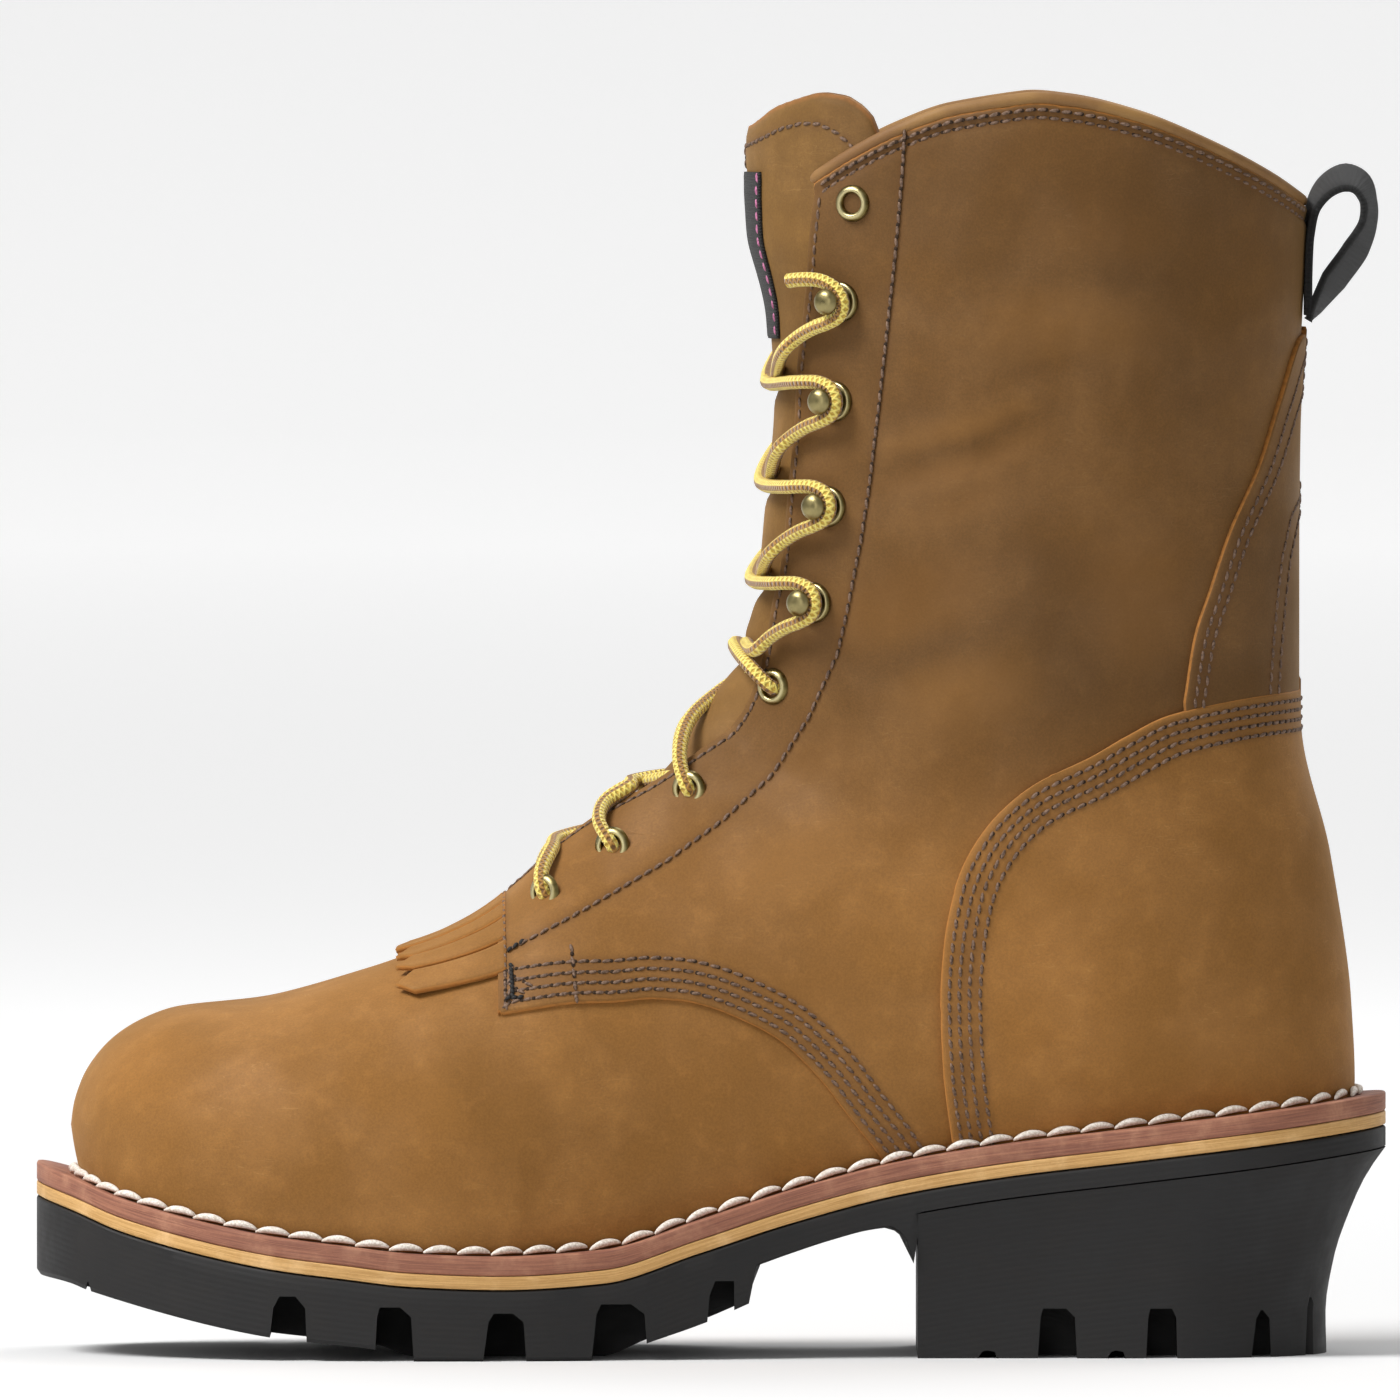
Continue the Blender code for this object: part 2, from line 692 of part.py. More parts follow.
def build_sole(welt_leather, midsole_leather, rubber, board):
    """Welt strip, midsole, insole, outsole with its lugs, and the heel block."""
    half = SOLE_LENGTH / 2
    stations = places(-half, half, 44)
    welt = loft("welt", stations, outline, sole_top, lambda x: sole_top(x) - WELT)
    boolean(welt, cutter(form("welt_inside", -VAMP_WALL)), "DIFFERENCE")
    finish(welt, welt_leather, False)

    midsole_top = WELT + GAP
    base_top = midsole_top + MIDSOLE + GAP
    midsole = loft(
        "midsole",
        stations,
        outline,
        lambda x: sole_top(x) - midsole_top,
        lambda x: sole_top(x) - midsole_top - MIDSOLE,
    )
    finish(midsole, midsole_leather, False)

    insole = loft(
        "insole",
        places(-half, half, 30),
        lambda x: (-SOLE_WIDTH, SOLE_WIDTH),
        lambda x: sole_top(x) + INSOLE_ABOVE_WELT,
        lambda x: sole_top(x) - WELT,
    )
    boolean(insole, cutter(form("insole_edge", -VAMP_WALL - GAP)), "INTERSECT")
    finish(insole, board, False)

    def under(x):
        """The outsole's underside: tread, arch, then the flat layer over the heel block."""
        place = x / SOLE_LENGTH
        if place <= TREAD[-1][0]:
            return smooth(TREAD, place) * HEEL_HEIGHT
        if place <= ARCH[-1][0]:
            return smooth(ARCH, place) * HEEL_HEIGHT
        return sole_top(x) - base_top - BASE

    outsole_stations = sorted(
        set(stations)
        | {row[0] * SOLE_LENGTH for row in TREAD[1:]}
        | {row[0] * SOLE_LENGTH + 0.0002 for row in (TREAD[-1], ARCH[-1])}
        | {row[0] * SOLE_LENGTH for row in ARCH[1:]}
    )
    outsole = loft("outsole", outsole_stations, outline, lambda x: sole_top(x) - base_top, under)
    tread_gaps = prism("tread_gaps", gap_outlines(TREAD_GAPS), "side", 3 * SOLE_WIDTH)
    boolean(outsole, cutter(tread_gaps), "DIFFERENCE")
    finish(outsole, rubber, False)

    bm = bmesh.new()
    rings = []
    breast = HEEL_BREAST * SOLE_LENGTH
    heel_places = [breast + (half - breast) * math.sin(math.pi / 2 * k / 14) for k in range(15)]
    for depth, back_draw, side_draw in HEEL_DRAW:
        ring = []
        for x in heel_places:
            low, high = outline(x)
            drawn_x = breast + (x - breast) * (1 - back_draw)
            top = sole_top(drawn_x) - base_top - BASE - GAP
            ring.append((drawn_x, low * (1 - side_draw), high * (1 - side_draw), top * (1 - depth)))
        edge = [(x, low, z) for x, low, high, z in ring]
        edge += [(x, high, z) for x, low, high, z in reversed(ring[:-1])]
        rings.append([bm.verts.new(point) for point in edge])
    for one, two in zip(rings, rings[1:]):
        for j in range(len(one)):
            bm.faces.new((one[j], two[j], two[(j + 1) % len(one)], one[(j + 1) % len(one)]))
    count = len(rings[0])
    for ring in (rings[0], rings[-1]):
        for j in range(count // 2):
            other = count - 1 - j
            corners = [ring[j], ring[j + 1], ring[other - 1], ring[other]]
            if corners[1] == corners[2]:
                corners.pop(2)
            bm.faces.new(corners)
    heel = mesh_object("heel_block", bm)
    heel_gaps = prism("heel_gaps", gap_outlines(HEEL_GAPS), "side", 3 * SOLE_WIDTH)
    boolean(heel, cutter(heel_gaps), "DIFFERENCE")
    finish(heel, rubber, False)


def below_welt():
    """All that lies under the upper's lower edge."""
    half = SOLE_LENGTH
    top = [(x, sole_top(x) + GAP) for x in places(-half / 2, half / 2, 44)]
    top = [(-half, top[0][1])] + top + [(half, top[-1][1])]
    return side_prism("below_welt", top + [(half, -HEEL_HEIGHT), (-half, -HEEL_HEIGHT)])


def above_collar():
    """All that lies over the collar's edge."""
    edge = line(COLLAR_EDGE)
    high = 2 * SHAFT_HEIGHT
    front = (-SOLE_LENGTH, edge[0][1] - COLLAR_FRONT_DROP)
    return side_prism(
        "above_collar",
        [front] + edge + [(SOLE_LENGTH, edge[-1][1]), (SOLE_LENGTH, high), (-SOLE_LENGTH, high)],
    )


def throat_opening():
    """The slot between the quarters, seen from the front."""
    lows = [sole_top(0) + row[0] * SHAFT_HEIGHT for row in THROAT]
    halves = [row[1] * UPPER_WIDTH for row in THROAT]
    points = [(half, z) for half, z in zip(halves, lows)]
    points += [(-half, z) for half, z in reversed(list(zip(halves, lows)))]
    front, back = THROAT_SLOT
    depth = (back - front) * SOLE_LENGTH
    middle = (back + front) / 2 * SOLE_LENGTH
    return cutter(prism("throat_opening", [points], "front", depth, middle))


def upper_holes():
    """Round holes through both walls at each eyelet."""
    bm = bmesh.new()
    for row in EYELET_ROWS + [TOP_EYELET]:
        for side in (-1, 1):
            point, normal = skin(*spot(*row), side)
            turn = normal.to_track_quat("Z", "Y").to_matrix().to_4x4()
            bmesh.ops.create_cone(
                bm,
                cap_ends=True,
                segments=8,
                radius1=EYELET_HOLE + 2 * GAP,
                radius2=EYELET_HOLE + 2 * GAP,
                depth=HOLE_DEPTH,
                matrix=Matrix.Translation(point) @ turn,
            )
    return cutter(mesh_object("eyelet_holes", bm))


def build_upper(leather, edge_leather):
    """The hollow upper with its raised quarters, the counter, the backstay and the rolled collar."""
    welt_cut = below_welt()
    collar_cut = above_collar()
    quarter_line = line(QUARTER_EDGE, 2)
    far_back, high, low = SOLE_LENGTH, 2 * SHAFT_HEIGHT, -HEEL_HEIGHT
    corners = [(quarter_line[-1][0], low), (far_back, low), (far_back, high), (quarter_line[0][0], high)]
    quarter_area = side_prism("quarter_area", quarter_line + corners)
    quarter = cutter(form("quarter_form", QUARTER_STEP))
    boolean(quarter, quarter_area, "INTERSECT")
    upper = form("upper", 0)
    boolean(upper, quarter, "UNION")
    boolean(upper, cutter(form("inside", -VAMP_WALL)), "DIFFERENCE")
    boolean(upper, throat_opening(), "DIFFERENCE")
    boolean(upper, collar_cut, "DIFFERENCE")
    boolean(upper, welt_cut, "DIFFERENCE")
    boolean(upper, upper_holes(), "DIFFERENCE")
    finish(upper, leather)

    lower = QUARTER_STEP + GAP
    counter_line = line(COUNTER_EDGE, 2)
    corners = [(far_back, low), (far_back, counter_line[0][1])]
    counter_area = side_prism("counter_area", counter_line + corners)
    counter = form("counter", lower + OVERLAY)
    boolean(counter, cutter(form("counter_inside", lower)), "DIFFERENCE")
    boolean(counter, counter_area, "INTERSECT")
    boolean(counter, welt_cut, "DIFFERENCE")
    finish(counter, leather)

    backstay_line = line(BACKSTAY_EDGE, 2)
    seat = [(x, z + 2 * GAP) for x, z in reversed(counter_line) if x > backstay_line[-1][0]]
    corners = [(far_back, seat[-1][1]), (far_back, high)]
    backstay_area = side_prism("backstay_area", backstay_line + seat + corners)
    backstay = form("backstay", lower + OVERLAY)
    boolean(backstay, cutter(form("backstay_inside", lower)), "DIFFERENCE")
    boolean(backstay, backstay_area, "INTERSECT")
    finish(backstay, leather)

    finish(tube("collar", collar_route(), COLLAR_ROLL), edge_leather)


def collar_height(x):
    """Height of the collar's edge at x, in metres."""
    return spot(x / SOLE_LENGTH, smooth(COLLAR_EDGE, x / SOLE_LENGTH))[1]


def collar_route():
    """The middle of the collar's roll, from the outer front corner round the back to the inner one."""
    lift = COLLAR_ROLL - VAMP_WALL + GAP

    def at(angle, side):
        low, high = SHAFT_STEP, len(SECTIONS) - 1.0
        for _ in range(30):
            middle = (low + high) / 2
            point = last_point(middle, angle, side)
            if point.z < collar_height(point.x):
                low = middle
            else:
                high = middle
        point = lifted(low, angle, side, lift)[0]
        slope = (collar_height(point.x + 0.001) - collar_height(point.x - 0.001)) / 0.002
        rise = (COLLAR_ROLL + 2 * GAP) * math.sqrt(1 + slope * slope)
        return Vector((point.x, point.y, collar_height(point.x) + rise))

    angles = [COLLAR_START + (math.pi - COLLAR_START) * k / 13 for k in range(14)]
    route = [at(angle, -1) for angle in angles]
    return route + [at(angle, 1) for angle in reversed(angles[:-1])]


def build_tongue(leather, black):
    """The tongue inside the throat, and the plain patch near its top."""
    outside = -VAMP_WALL - GAP
    area = side_prism("tongue_area", line(TONGUE_EDGE, 2))
    tongue = form("tongue", outside)
    boolean(tongue, cutter(form("tongue_inside", outside - TONGUE)), "DIFFERENCE")
    boolean(tongue, area, "INTERSECT")
    finish(tongue, leather)

    label = form("tongue_label", outside + GAP + LABEL_THICK)
    boolean(label, cutter(form("label_inside", outside + GAP)), "DIFFERENCE")
    top = sole_top(0) + LABEL_TOP * SHAFT_HEIGHT
    bottom = sole_top(0) + LABEL_BOTTOM * SHAFT_HEIGHT
    half = LABEL_HALF * UPPER_WIDTH
    patch = [(-half, top), (half, top), (LABEL_TAPER * half, bottom), (-LABEL_TAPER * half, bottom)]
    depth = 0.20 * SOLE_LENGTH
    boolean(label, cutter(prism("label_area", [patch], "front", depth, 0.03 * SOLE_LENGTH)), "INTERSECT")
    finish(label, black)


def build_kiltie(leather):
    """The fringed flap on the vamp, with its slits and pinked end."""
    front, back = KILTIE_FRONT * SOLE_LENGTH, KILTIE_BACK * SOLE_LENGTH
    half = KILTIE_HALF * UPPER_WIDTH
    pitch = 2 * half / KILTIE_TEETH
    points = [(back, -half)]
    for k in range(KILTIE_TEETH):
        left = -half + k * pitch
        points.append((front + KILTIE_TOOTH, left))
        points.append((front, left + pitch / 2))
        if k < KILTIE_TEETH - 1:
            points.append((front + KILTIE_TOOTH, left + pitch - KILTIE_SLIT / 2))
            points.append((back - KILTIE_ROOT, left + pitch))
            points.append((front + KILTIE_TOOTH, left + pitch + KILTIE_SLIT / 2))
    points += [(front + KILTIE_TOOTH, half), (back, half)]
    points = [point for k, point in enumerate(points) if k == 0 or point != points[k - 1]]
    kiltie = form("kiltie", GAP + OVERLAY)
    boolean(kiltie, cutter(form("kiltie_inside", GAP)), "DIFFERENCE")
    kiltie_area = prism("kiltie_area", [points], "top", SHAFT_HEIGHT, HEEL_HEIGHT + SHAFT_HEIGHT / 2)
    boolean(kiltie, cutter(kiltie_area), "INTERSECT")
    finish(kiltie, leather)


def back_of_quarter(z):
    """Place of the quarter's back at a height, for the loop that is sewn to it."""
    low, high = SHAFT_STEP, len(SECTIONS) - 1.0
    for _ in range(30):
        middle = (low + high) / 2
        if last_point(middle, math.pi, 1).z < z:
            low = middle
        else:
            high = middle
    return last_point(low, math.pi, 1).x + QUARTER_STEP


def build_pull_loop(webbing):
    """A band of webbing whose two ends are sewn to the back, below the collar."""
    top = collar_height(back_of_quarter(spot(*COLLAR_EDGE[-1])[1]))
    heights = [top + share * LOOP_LENGTH for share in LOOP_SEAT]
    seat = [(back_of_quarter(height) + GAP, height) for height in heights]
    back = seat[-1][0]
    outlines = [seat + [(back + a * LOOP_LENGTH, top + b * LOOP_LENGTH) for a, b in LOOP_OUTER]]
    outlines.append([(back + a * LOOP_LENGTH, top + b * LOOP_LENGTH) for a, b in LOOP_OPENING])
    finish(prism("pull_loop", outlines, "side", LOOP_WIDTH), webbing, False)


def build_eyelets(brass):
    """Rolled eyelets, each a flange on the leather with a short tube through it."""
    inner = EYELET_HOLE - EYELET_WALL
    profile = [
        (inner, EYELET_RISE),
        (EYELET_FLANGE - EYELET_WALL, EYELET_RISE * 0.8),
        (EYELET_FLANGE, 0),
        (EYELET_HOLE, 0),
        (EYELET_HOLE, -EYELET_DEPTH),
        (inner, -EYELET_DEPTH),
    ]
    number = 0
    for row in EYELET_ROWS + [TOP_EYELET]:
        for side in (-1, 1):
            number += 1
            eyelet = turned(f"eyelet_{number:02d}", profile, 8, True)
            point, normal = skin(*spot(*row), side, QUARTER_STEP + 2 * GAP)
            stand_on(eyelet, point, normal)
            finish(eyelet, brass)


def build_hooks(brass):
    """Lace hooks, each turned as a round base, a neck and a domed cap."""
    profile = [
        (0, HOOK_REACH),
        (HOOK_CAP * 0.7, HOOK_REACH - HOOK_CAP_EDGE / 3),
        (HOOK_CAP, HOOK_REACH - HOOK_CAP_EDGE),
        (HOOK_NECK, HOOK_REACH - HOOK_CAP_THICK),
        (HOOK_NECK, HOOK_FOOT),
        (HOOK_BASE, HOOK_FOOT / 2),
        (HOOK_BASE, 0),
        (0, 0),
    ]
    number = 0
    for row in HOOK_ROWS:
        for side in (-1, 1):
            number += 1
            hook = turned(f"hook_{number}", profile, 8)
            point, normal = skin(*spot(*row), side, QUARTER_STEP + 2 * GAP)
            stand_on(hook, point, normal)
            finish(hook, brass)


def lace_keys(row, hooked, upper_end):
    """Where a lace's bar meets its row: step, angle and lift, from the row towards the throat."""
    x, z = spot(*row)
    seat = QUARTER_STEP + 2 * GAP
    over_edge = seat + 2 * GAP + LACE / 2
    if hooked:
        turn = HOOK_NECK + LACE / 2 + GAP
        way = -turn if upper_end else turn
        lift = seat + HOOK_FOOT + 2 * GAP + LACE / 2
        behind, beside, before = [
            locate(x + back * turn, z + up * way) for back, up in (HOOK_BEHIND, HOOK_BESIDE, HOOK_BEFORE)
        ]
        inward_step = before[0] + HOOK_INWARD_STEP * way
        inward = (inward_step, before[1] * HOOK_INWARD_ANGLE, over_edge - LACE_INTO_THROAT)
        return [(*behind, lift), (*beside, lift), (*before, over_edge + LACE_OVER_EDGE), inward]
    step, angle = locate(x, z)
    if upper_end:
        up, share = EYELET_ARRIVE
        return [(step + up, angle * share, over_edge)]
    keys = [(step, angle, seat + EYELET_RISE + 2 * GAP + LACE / 2)]
    return keys + [(step + up, angle * share, over_edge + lift) for up, share, lift in EYELET_LEAVE]


def lace_route(low_row, low_hooked, high_row, high_hooked, side):
    """One bar of a crossing, from its lower row on one side to its upper row on the other."""
    low = lace_keys(low_row, low_hooked, False)
    high = lace_keys(high_row, high_hooked, True)
    middle_step = (low[-1][0] + high[-1][0]) / 2
    middle_lift = LACE_ON_TONGUE if high_hooked else low[-1][2]
    points = [lifted(*key[:2], side, key[2])[0] for key in low]
    points.append(lifted(middle_step, 0.0, side, middle_lift)[0])
    points += [lifted(*key[:2], -side, key[2])[0] for key in reversed(high)]
    return through(points, len(points) + 1)


def lace_end_route(row, side):
    """The lace's end, from behind the top hook over it and a little way towards the tongue."""
    x, z = spot(*row)
    seat = QUARTER_STEP + 2 * GAP
    turn = HOOK_NECK + LACE / 2 + GAP
    lift = seat + HOOK_FOOT + 2 * GAP + LACE / 2
    keys = [(x + back * turn, z + up * turn, lift) for back, up in (HOOK_BEHIND, HOOK_BESIDE, HOOK_LEAVE)]
    keys.append((x - LACE_END, z + LACE_END_RISE * turn, lift - LACE / 3))
    return through([skin(a, b, side, c)[0] for a, b, c in keys], 6)


def build_laces(cord):
    """A joined crossing between each two rows of eyelets or hooks, and the two ends."""
    rows = [(row, False) for row in EYELET_ROWS] + [(row, True) for row in HOOK_ROWS]
    for number, (low, high) in enumerate(zip(rows, rows[1:]), 1):
        crossing = tube(f"lace_crossing_{number}", lace_route(*low, *high, -1), LACE / 2)
        other = cutter(tube(f"crossing_{number}_other", lace_route(*low, *high, 1), LACE / 2))
        boolean(crossing, other, "UNION")
        finish(crossing, cord)
    for side, number in ((-1, 1), (1, 2)):
        finish(tube(f"lace_end_{number}", lace_end_route(HOOK_ROWS[-1], side), LACE / 2), cord)


def clear_scene():
    for existing in list(bpy.data.objects):
        bpy.data.objects.remove(existing)
    bpy.context.scene.collection.children.link(parts)
    bpy.context.scene.collection.children.link(cutters)


def build():
    clear_scene()
    leather = material("oiled nubuck", (0.33, 0.155, 0.045), 0.75)
    edge_leather = material("rolled collar leather", (0.30, 0.14, 0.04), 0.7)
    welt_leather = material("red-brown welt leather", (0.27, 0.11, 0.085), 0.7)
    midsole_leather = material("tan midsole leather", (0.58, 0.35, 0.08), 0.65)
    rubber = material("black rubber", (0.033, 0.031, 0.030), 0.6)
    board = material("insole board", (0.45, 0.30, 0.17), 0.9)
    brass = material("antique brass", (0.28, 0.22, 0.10), 0.35, 1.0)
    black = material("black webbing", (0.012, 0.012, 0.013), 0.85)
    build_sole(welt_leather, midsole_leather, rubber, board)
    build_upper(leather, edge_leather)
    build_tongue(leather, black)
    build_kiltie(leather)
    build_pull_loop(black)
    build_eyelets(brass)
    build_hooks(brass)
    build_laces(material("yellow and brown lace", (0.72, 0.55, 0.10), 0.8))


build()
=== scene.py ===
# %% [markdown]
# # A logger boot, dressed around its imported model
#
# This lesson dresses a left logger boot: an oiled nubuck upper on a stitched leather welt, a lugged
# rubber sole with a high heel, brass hooks and eyelets, and a braided lace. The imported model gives
# the frame: every piece here is made in metres in the same place as the solid that it stands for.
#
# Metres, +Z up. The toe points along -X, the outer side faces -Y and the sole stands on Z = 0.

import math

import bmesh
import bpy
import numpy as np
from mathutils import Matrix, Vector
from mathutils.bvhtree import BVHTree


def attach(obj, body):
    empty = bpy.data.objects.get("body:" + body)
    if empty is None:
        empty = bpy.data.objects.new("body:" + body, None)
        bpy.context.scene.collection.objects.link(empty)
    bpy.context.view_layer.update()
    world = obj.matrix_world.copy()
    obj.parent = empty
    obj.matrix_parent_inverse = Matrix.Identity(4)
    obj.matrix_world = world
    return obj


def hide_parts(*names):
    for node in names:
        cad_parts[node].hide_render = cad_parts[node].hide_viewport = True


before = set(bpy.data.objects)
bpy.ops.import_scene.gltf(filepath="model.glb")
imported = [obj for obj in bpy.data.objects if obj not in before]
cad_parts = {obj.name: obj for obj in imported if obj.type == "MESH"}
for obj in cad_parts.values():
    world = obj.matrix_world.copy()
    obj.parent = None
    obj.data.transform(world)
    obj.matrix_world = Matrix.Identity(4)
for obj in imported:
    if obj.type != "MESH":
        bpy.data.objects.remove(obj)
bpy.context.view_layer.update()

# %% [markdown]
# ## The shoe's own sizes
#
# A shoemaker starts from a last, a solid foot shape, and lays every piece over it. The boot's last is
# a stack of sections. Each one runs on a straight line from a near point (toe ridge, instep, front of
# the shaft) to a far point (underside, heel back, back of the shaft), with a half width to each side.
# The numbers are shares of a few driving sizes, so the table reads like a maker's pattern.

# %% Driving sizes and the tables of the last
SOLE_LENGTH = 0.317
SOLE_WIDTH = 0.114
HEEL_HEIGHT = 0.0614
SHAFT_HEIGHT = 0.240
UPPER_WIDTH = 0.102
VAMP_WALL = 0.0018
QUARTER_STEP = 0.0012
OVERLAY = 0.0014
WELT = 0.0045
MIDSOLE = 0.0029
BASE = 0.0050
TONGUE = 0.0030
COLLAR_ROLL = 0.0021
GAP = 0.0003
TOE_ROUND = 0.072
HEEL_ROUND = 0.045
LACE = 0.0034
LOOP_WIDTH = 0.018
LOOP_LENGTH = 0.026

# Height of the welt's top edge: place as a share of SOLE_LENGTH, height of HEEL_HEIGHT
RIDE = [
    (-0.50, 0.730),
    (-0.47, 0.677),
    (-0.44, 0.615),
    (-0.40, 0.556),
    (-0.36, 0.508),
    (-0.32, 0.470),
    (-0.27, 0.438),
    (-0.22, 0.409),
    (-0.155, 0.397),
    (-0.08, 0.419),
    (-0.01, 0.529),
    (0.06, 0.645),
    (0.14, 0.752),
    (0.215, 0.817),
    (0.31, 0.876),
    (0.40, 0.932),
    (0.50, 1.000),
]
# Sole outline: place, then the outer and inner half widths as shares of SOLE_WIDTH
OUTLINE = [
    (-0.50, 0.400, 0.520),
    (-0.40, 0.445, 0.520),
    (-0.30, 0.485, 0.507),
    (-0.22, 0.500, 0.480),
    (-0.15, 0.492, 0.448),
    (-0.08, 0.462, 0.410),
    (0.00, 0.415, 0.370),
    (0.08, 0.378, 0.348),
    (0.16, 0.362, 0.345),
    (0.24, 0.362, 0.352),
    (0.32, 0.368, 0.360),
    (0.42, 0.368, 0.364),
    (0.50, 0.366, 0.366),
]
TOE_SHIFT = 0.07
# Columns: near place, near height, far place, far height, shift to the inner side, outer half width,
# inner half width, how far along the width is greatest, and how square it is near and far
SECTIONS = [
    (-0.475, 0.046, -0.475, 0.046, 0.080, 0.000, 0.000, 0.50, 2.2, 2.2),
    (-0.473, 0.066, -0.472, 0.024, 0.080, 0.115, 0.105, 0.50, 2.2, 2.2),
    (-0.467, 0.094, -0.464, -0.011, 0.078, 0.205, 0.185, 0.52, 2.3, 2.4),
    (-0.446, 0.144, -0.443, -0.036, 0.072, 0.330, 0.295, 0.58, 2.4, 3.0),
    (-0.403, 0.192, -0.403, -0.043, 0.060, 0.435, 0.385, 0.64, 2.4, 3.8),
    (-0.321, 0.230, -0.321, -0.040, 0.035, 0.515, 0.447, 0.68, 2.4, 4.4),
    (-0.245, 0.272, -0.245, -0.041, 0.012, 0.530, 0.463, 0.70, 2.3, 4.6),
    (-0.193, 0.306, -0.193, -0.042, 0.000, 0.518, 0.448, 0.71, 2.1, 4.6),
    (-0.157, 0.337, -0.152, -0.040, 0.000, 0.495, 0.420, 0.71, 2.0, 4.5),
    (-0.112, 0.394, -0.112, -0.039, 0.000, 0.458, 0.385, 0.70, 1.9, 4.4),
    (-0.075, 0.431, 0.014, -0.045, 0.000, 0.405, 0.362, 0.68, 1.9, 3.9),
    (-0.045, 0.450, 0.138, -0.050, 0.000, 0.378, 0.358, 0.64, 1.9, 3.5),
    (-0.021, 0.468, 0.236, -0.046, 0.000, 0.372, 0.366, 0.62, 1.9, 3.1),
    (-0.012, 0.479, 0.364, -0.049, 0.000, 0.372, 0.374, 0.60, 1.9, 2.6),
    (-0.004, 0.489, 0.452, -0.046, 0.000, 0.368, 0.374, 0.58, 1.9, 2.4),
    (0.004, 0.502, 0.468, 0.017, 0.000, 0.368, 0.375, 0.56, 1.9, 2.3),
    (0.013, 0.529, 0.465, 0.100, 0.000, 0.372, 0.380, 0.55, 1.9, 2.2),
    (0.021, 0.561, 0.450, 0.239, 0.000, 0.388, 0.396, 0.53, 1.9, 2.2),
    (0.028, 0.604, 0.428, 0.380, 0.000, 0.402, 0.412, 0.51, 2.0, 2.2),
    (0.034, 0.684, 0.428, 0.537, 0.000, 0.420, 0.428, 0.50, 2.0, 2.2),
    (0.040, 0.769, 0.429, 0.663, 0.000, 0.436, 0.440, 0.50, 2.0, 2.2),
    (0.037, 0.854, 0.434, 0.765, 0.000, 0.450, 0.450, 0.50, 2.0, 2.2),
    (0.024, 0.942, 0.437, 0.848, 0.000, 0.456, 0.454, 0.50, 2.0, 2.2),
    (0.018, 1.033, 0.439, 0.935, 0.000, 0.458, 0.456, 0.50, 2.0, 2.2),
    (0.016, 1.141, 0.442, 1.042, 0.000, 0.458, 0.456, 0.50, 2.0, 2.2),
]
# Edges seen from the side: place of SOLE_LENGTH, height above the welt line of SHAFT_HEIGHT
COLLAR_EDGE = [
    (0.075, 0.9715),
    (0.103, 0.9855),
    (0.140, 0.9995),
    (0.180, 1.0085),
    (0.232, 1.0095),
    (0.266, 1.0015),
    (0.317, 0.9775),
    (0.368, 0.9415),
    (0.412, 0.9035),
    (0.450, 0.8615),
]
QUARTER_EDGE = [
    (-0.157, 0.420),
    (-0.157, 0.284),
    (-0.155, 0.233),
    (-0.104, 0.241),
    (-0.056, 0.235),
    (-0.028, 0.222),
    (-0.001, 0.203),
    (0.025, 0.178),
    (0.051, 0.148),
    (0.080, 0.100),
    (0.105, 0.048),
    (0.124, 0.010),
    (0.140, -0.030),
]
COUNTER_EDGE = [
    (0.460, 0.404),
    (0.400, 0.406),
    (0.339, 0.399),
    (0.307, 0.384),
    (0.279, 0.367),
    (0.237, 0.346),
    (0.205, 0.312),
    (0.183, 0.264),
    (0.172, 0.204),
    (0.169, 0.147),
    (0.171, 0.080),
    (0.177, 0.012),
    (0.181, -0.030),
]
BACKSTAY_EDGE = [
    (0.446, 0.758),
    (0.432, 0.752),
    (0.415, 0.691),
    (0.401, 0.633),
    (0.379, 0.568),
    (0.365, 0.513),
    (0.355, 0.473),
    (0.347, 0.410),
]
THROAT = [
    (0.318, 0.015),
    (0.326, 0.040),
    (0.352, 0.062),
    (0.400, 0.090),
    (0.445, 0.115),
    (0.500, 0.138),
    (0.570, 0.160),
    (0.640, 0.196),
    (0.720, 0.205),
    (0.790, 0.212),
    (0.870, 0.246),
    (0.940, 0.292),
    (1.020, 0.318),
    (1.250, 0.330),
]
EYELET_ROWS = [(-0.121, 0.346), (-0.072, 0.386), (-0.015, 0.417), (0.048, 0.492)]
HOOK_ROWS = [(0.078, 0.564), (0.089, 0.654), (0.094, 0.755), (0.098, 0.851)]
TOP_EYELET = (0.106, 0.944)
TREAD = [
    (-0.50, 0.300),
    (-0.476, 0.280),
    (-0.459, 0.250),
    (-0.329, 0.092),
    (-0.297, 0.072),
    (-0.248, 0.045),
    (-0.219, 0.000),
    (-0.082, 0.000),
    (-0.047, 0.065),
    (-0.005, 0.140),
    (0.030, 0.218),
]
TREAD_GAPS = [
    (-0.4640, -0.4565, -0.4610, -0.4600, 0.285),
    (-0.3270, -0.2972, -0.3180, -0.3060, 0.246),
    (-0.2478, -0.2189, -0.2440, -0.2290, 0.206),
    (-0.1679, -0.1361, -0.1600, -0.1460, 0.182),
    (-0.0880, -0.0466, -0.0810, -0.0590, 0.215),
    (-0.0052, 0.0170, 0.0030, 0.0170, 0.300),
]
HEEL_BREAST = 0.1525
HEEL_GAPS = [
    (0.1967, 0.2108, 0.2030, 0.2040, 0.030),
    (0.2411, 0.2700, 0.2450, 0.2620, 0.190),
    (0.2922, 0.3055, 0.2980, 0.2995, 0.030),
    (0.3210, 0.3440, 0.3240, 0.3400, 0.190),
    (0.3990, 0.4135, 0.4060, 0.4075, 0.180),
    (0.4395, 0.4475, 0.4425, 0.4440, 0.220),
]
HEEL_DRAW = [
    (0.00, 0.000, 0.000),
    (0.12, 0.040, 0.020),
    (0.28, 0.074, 0.040),
    (0.52, 0.110, 0.060),
    (0.80, 0.128, 0.075),
    (1.00, 0.126, 0.080),
]
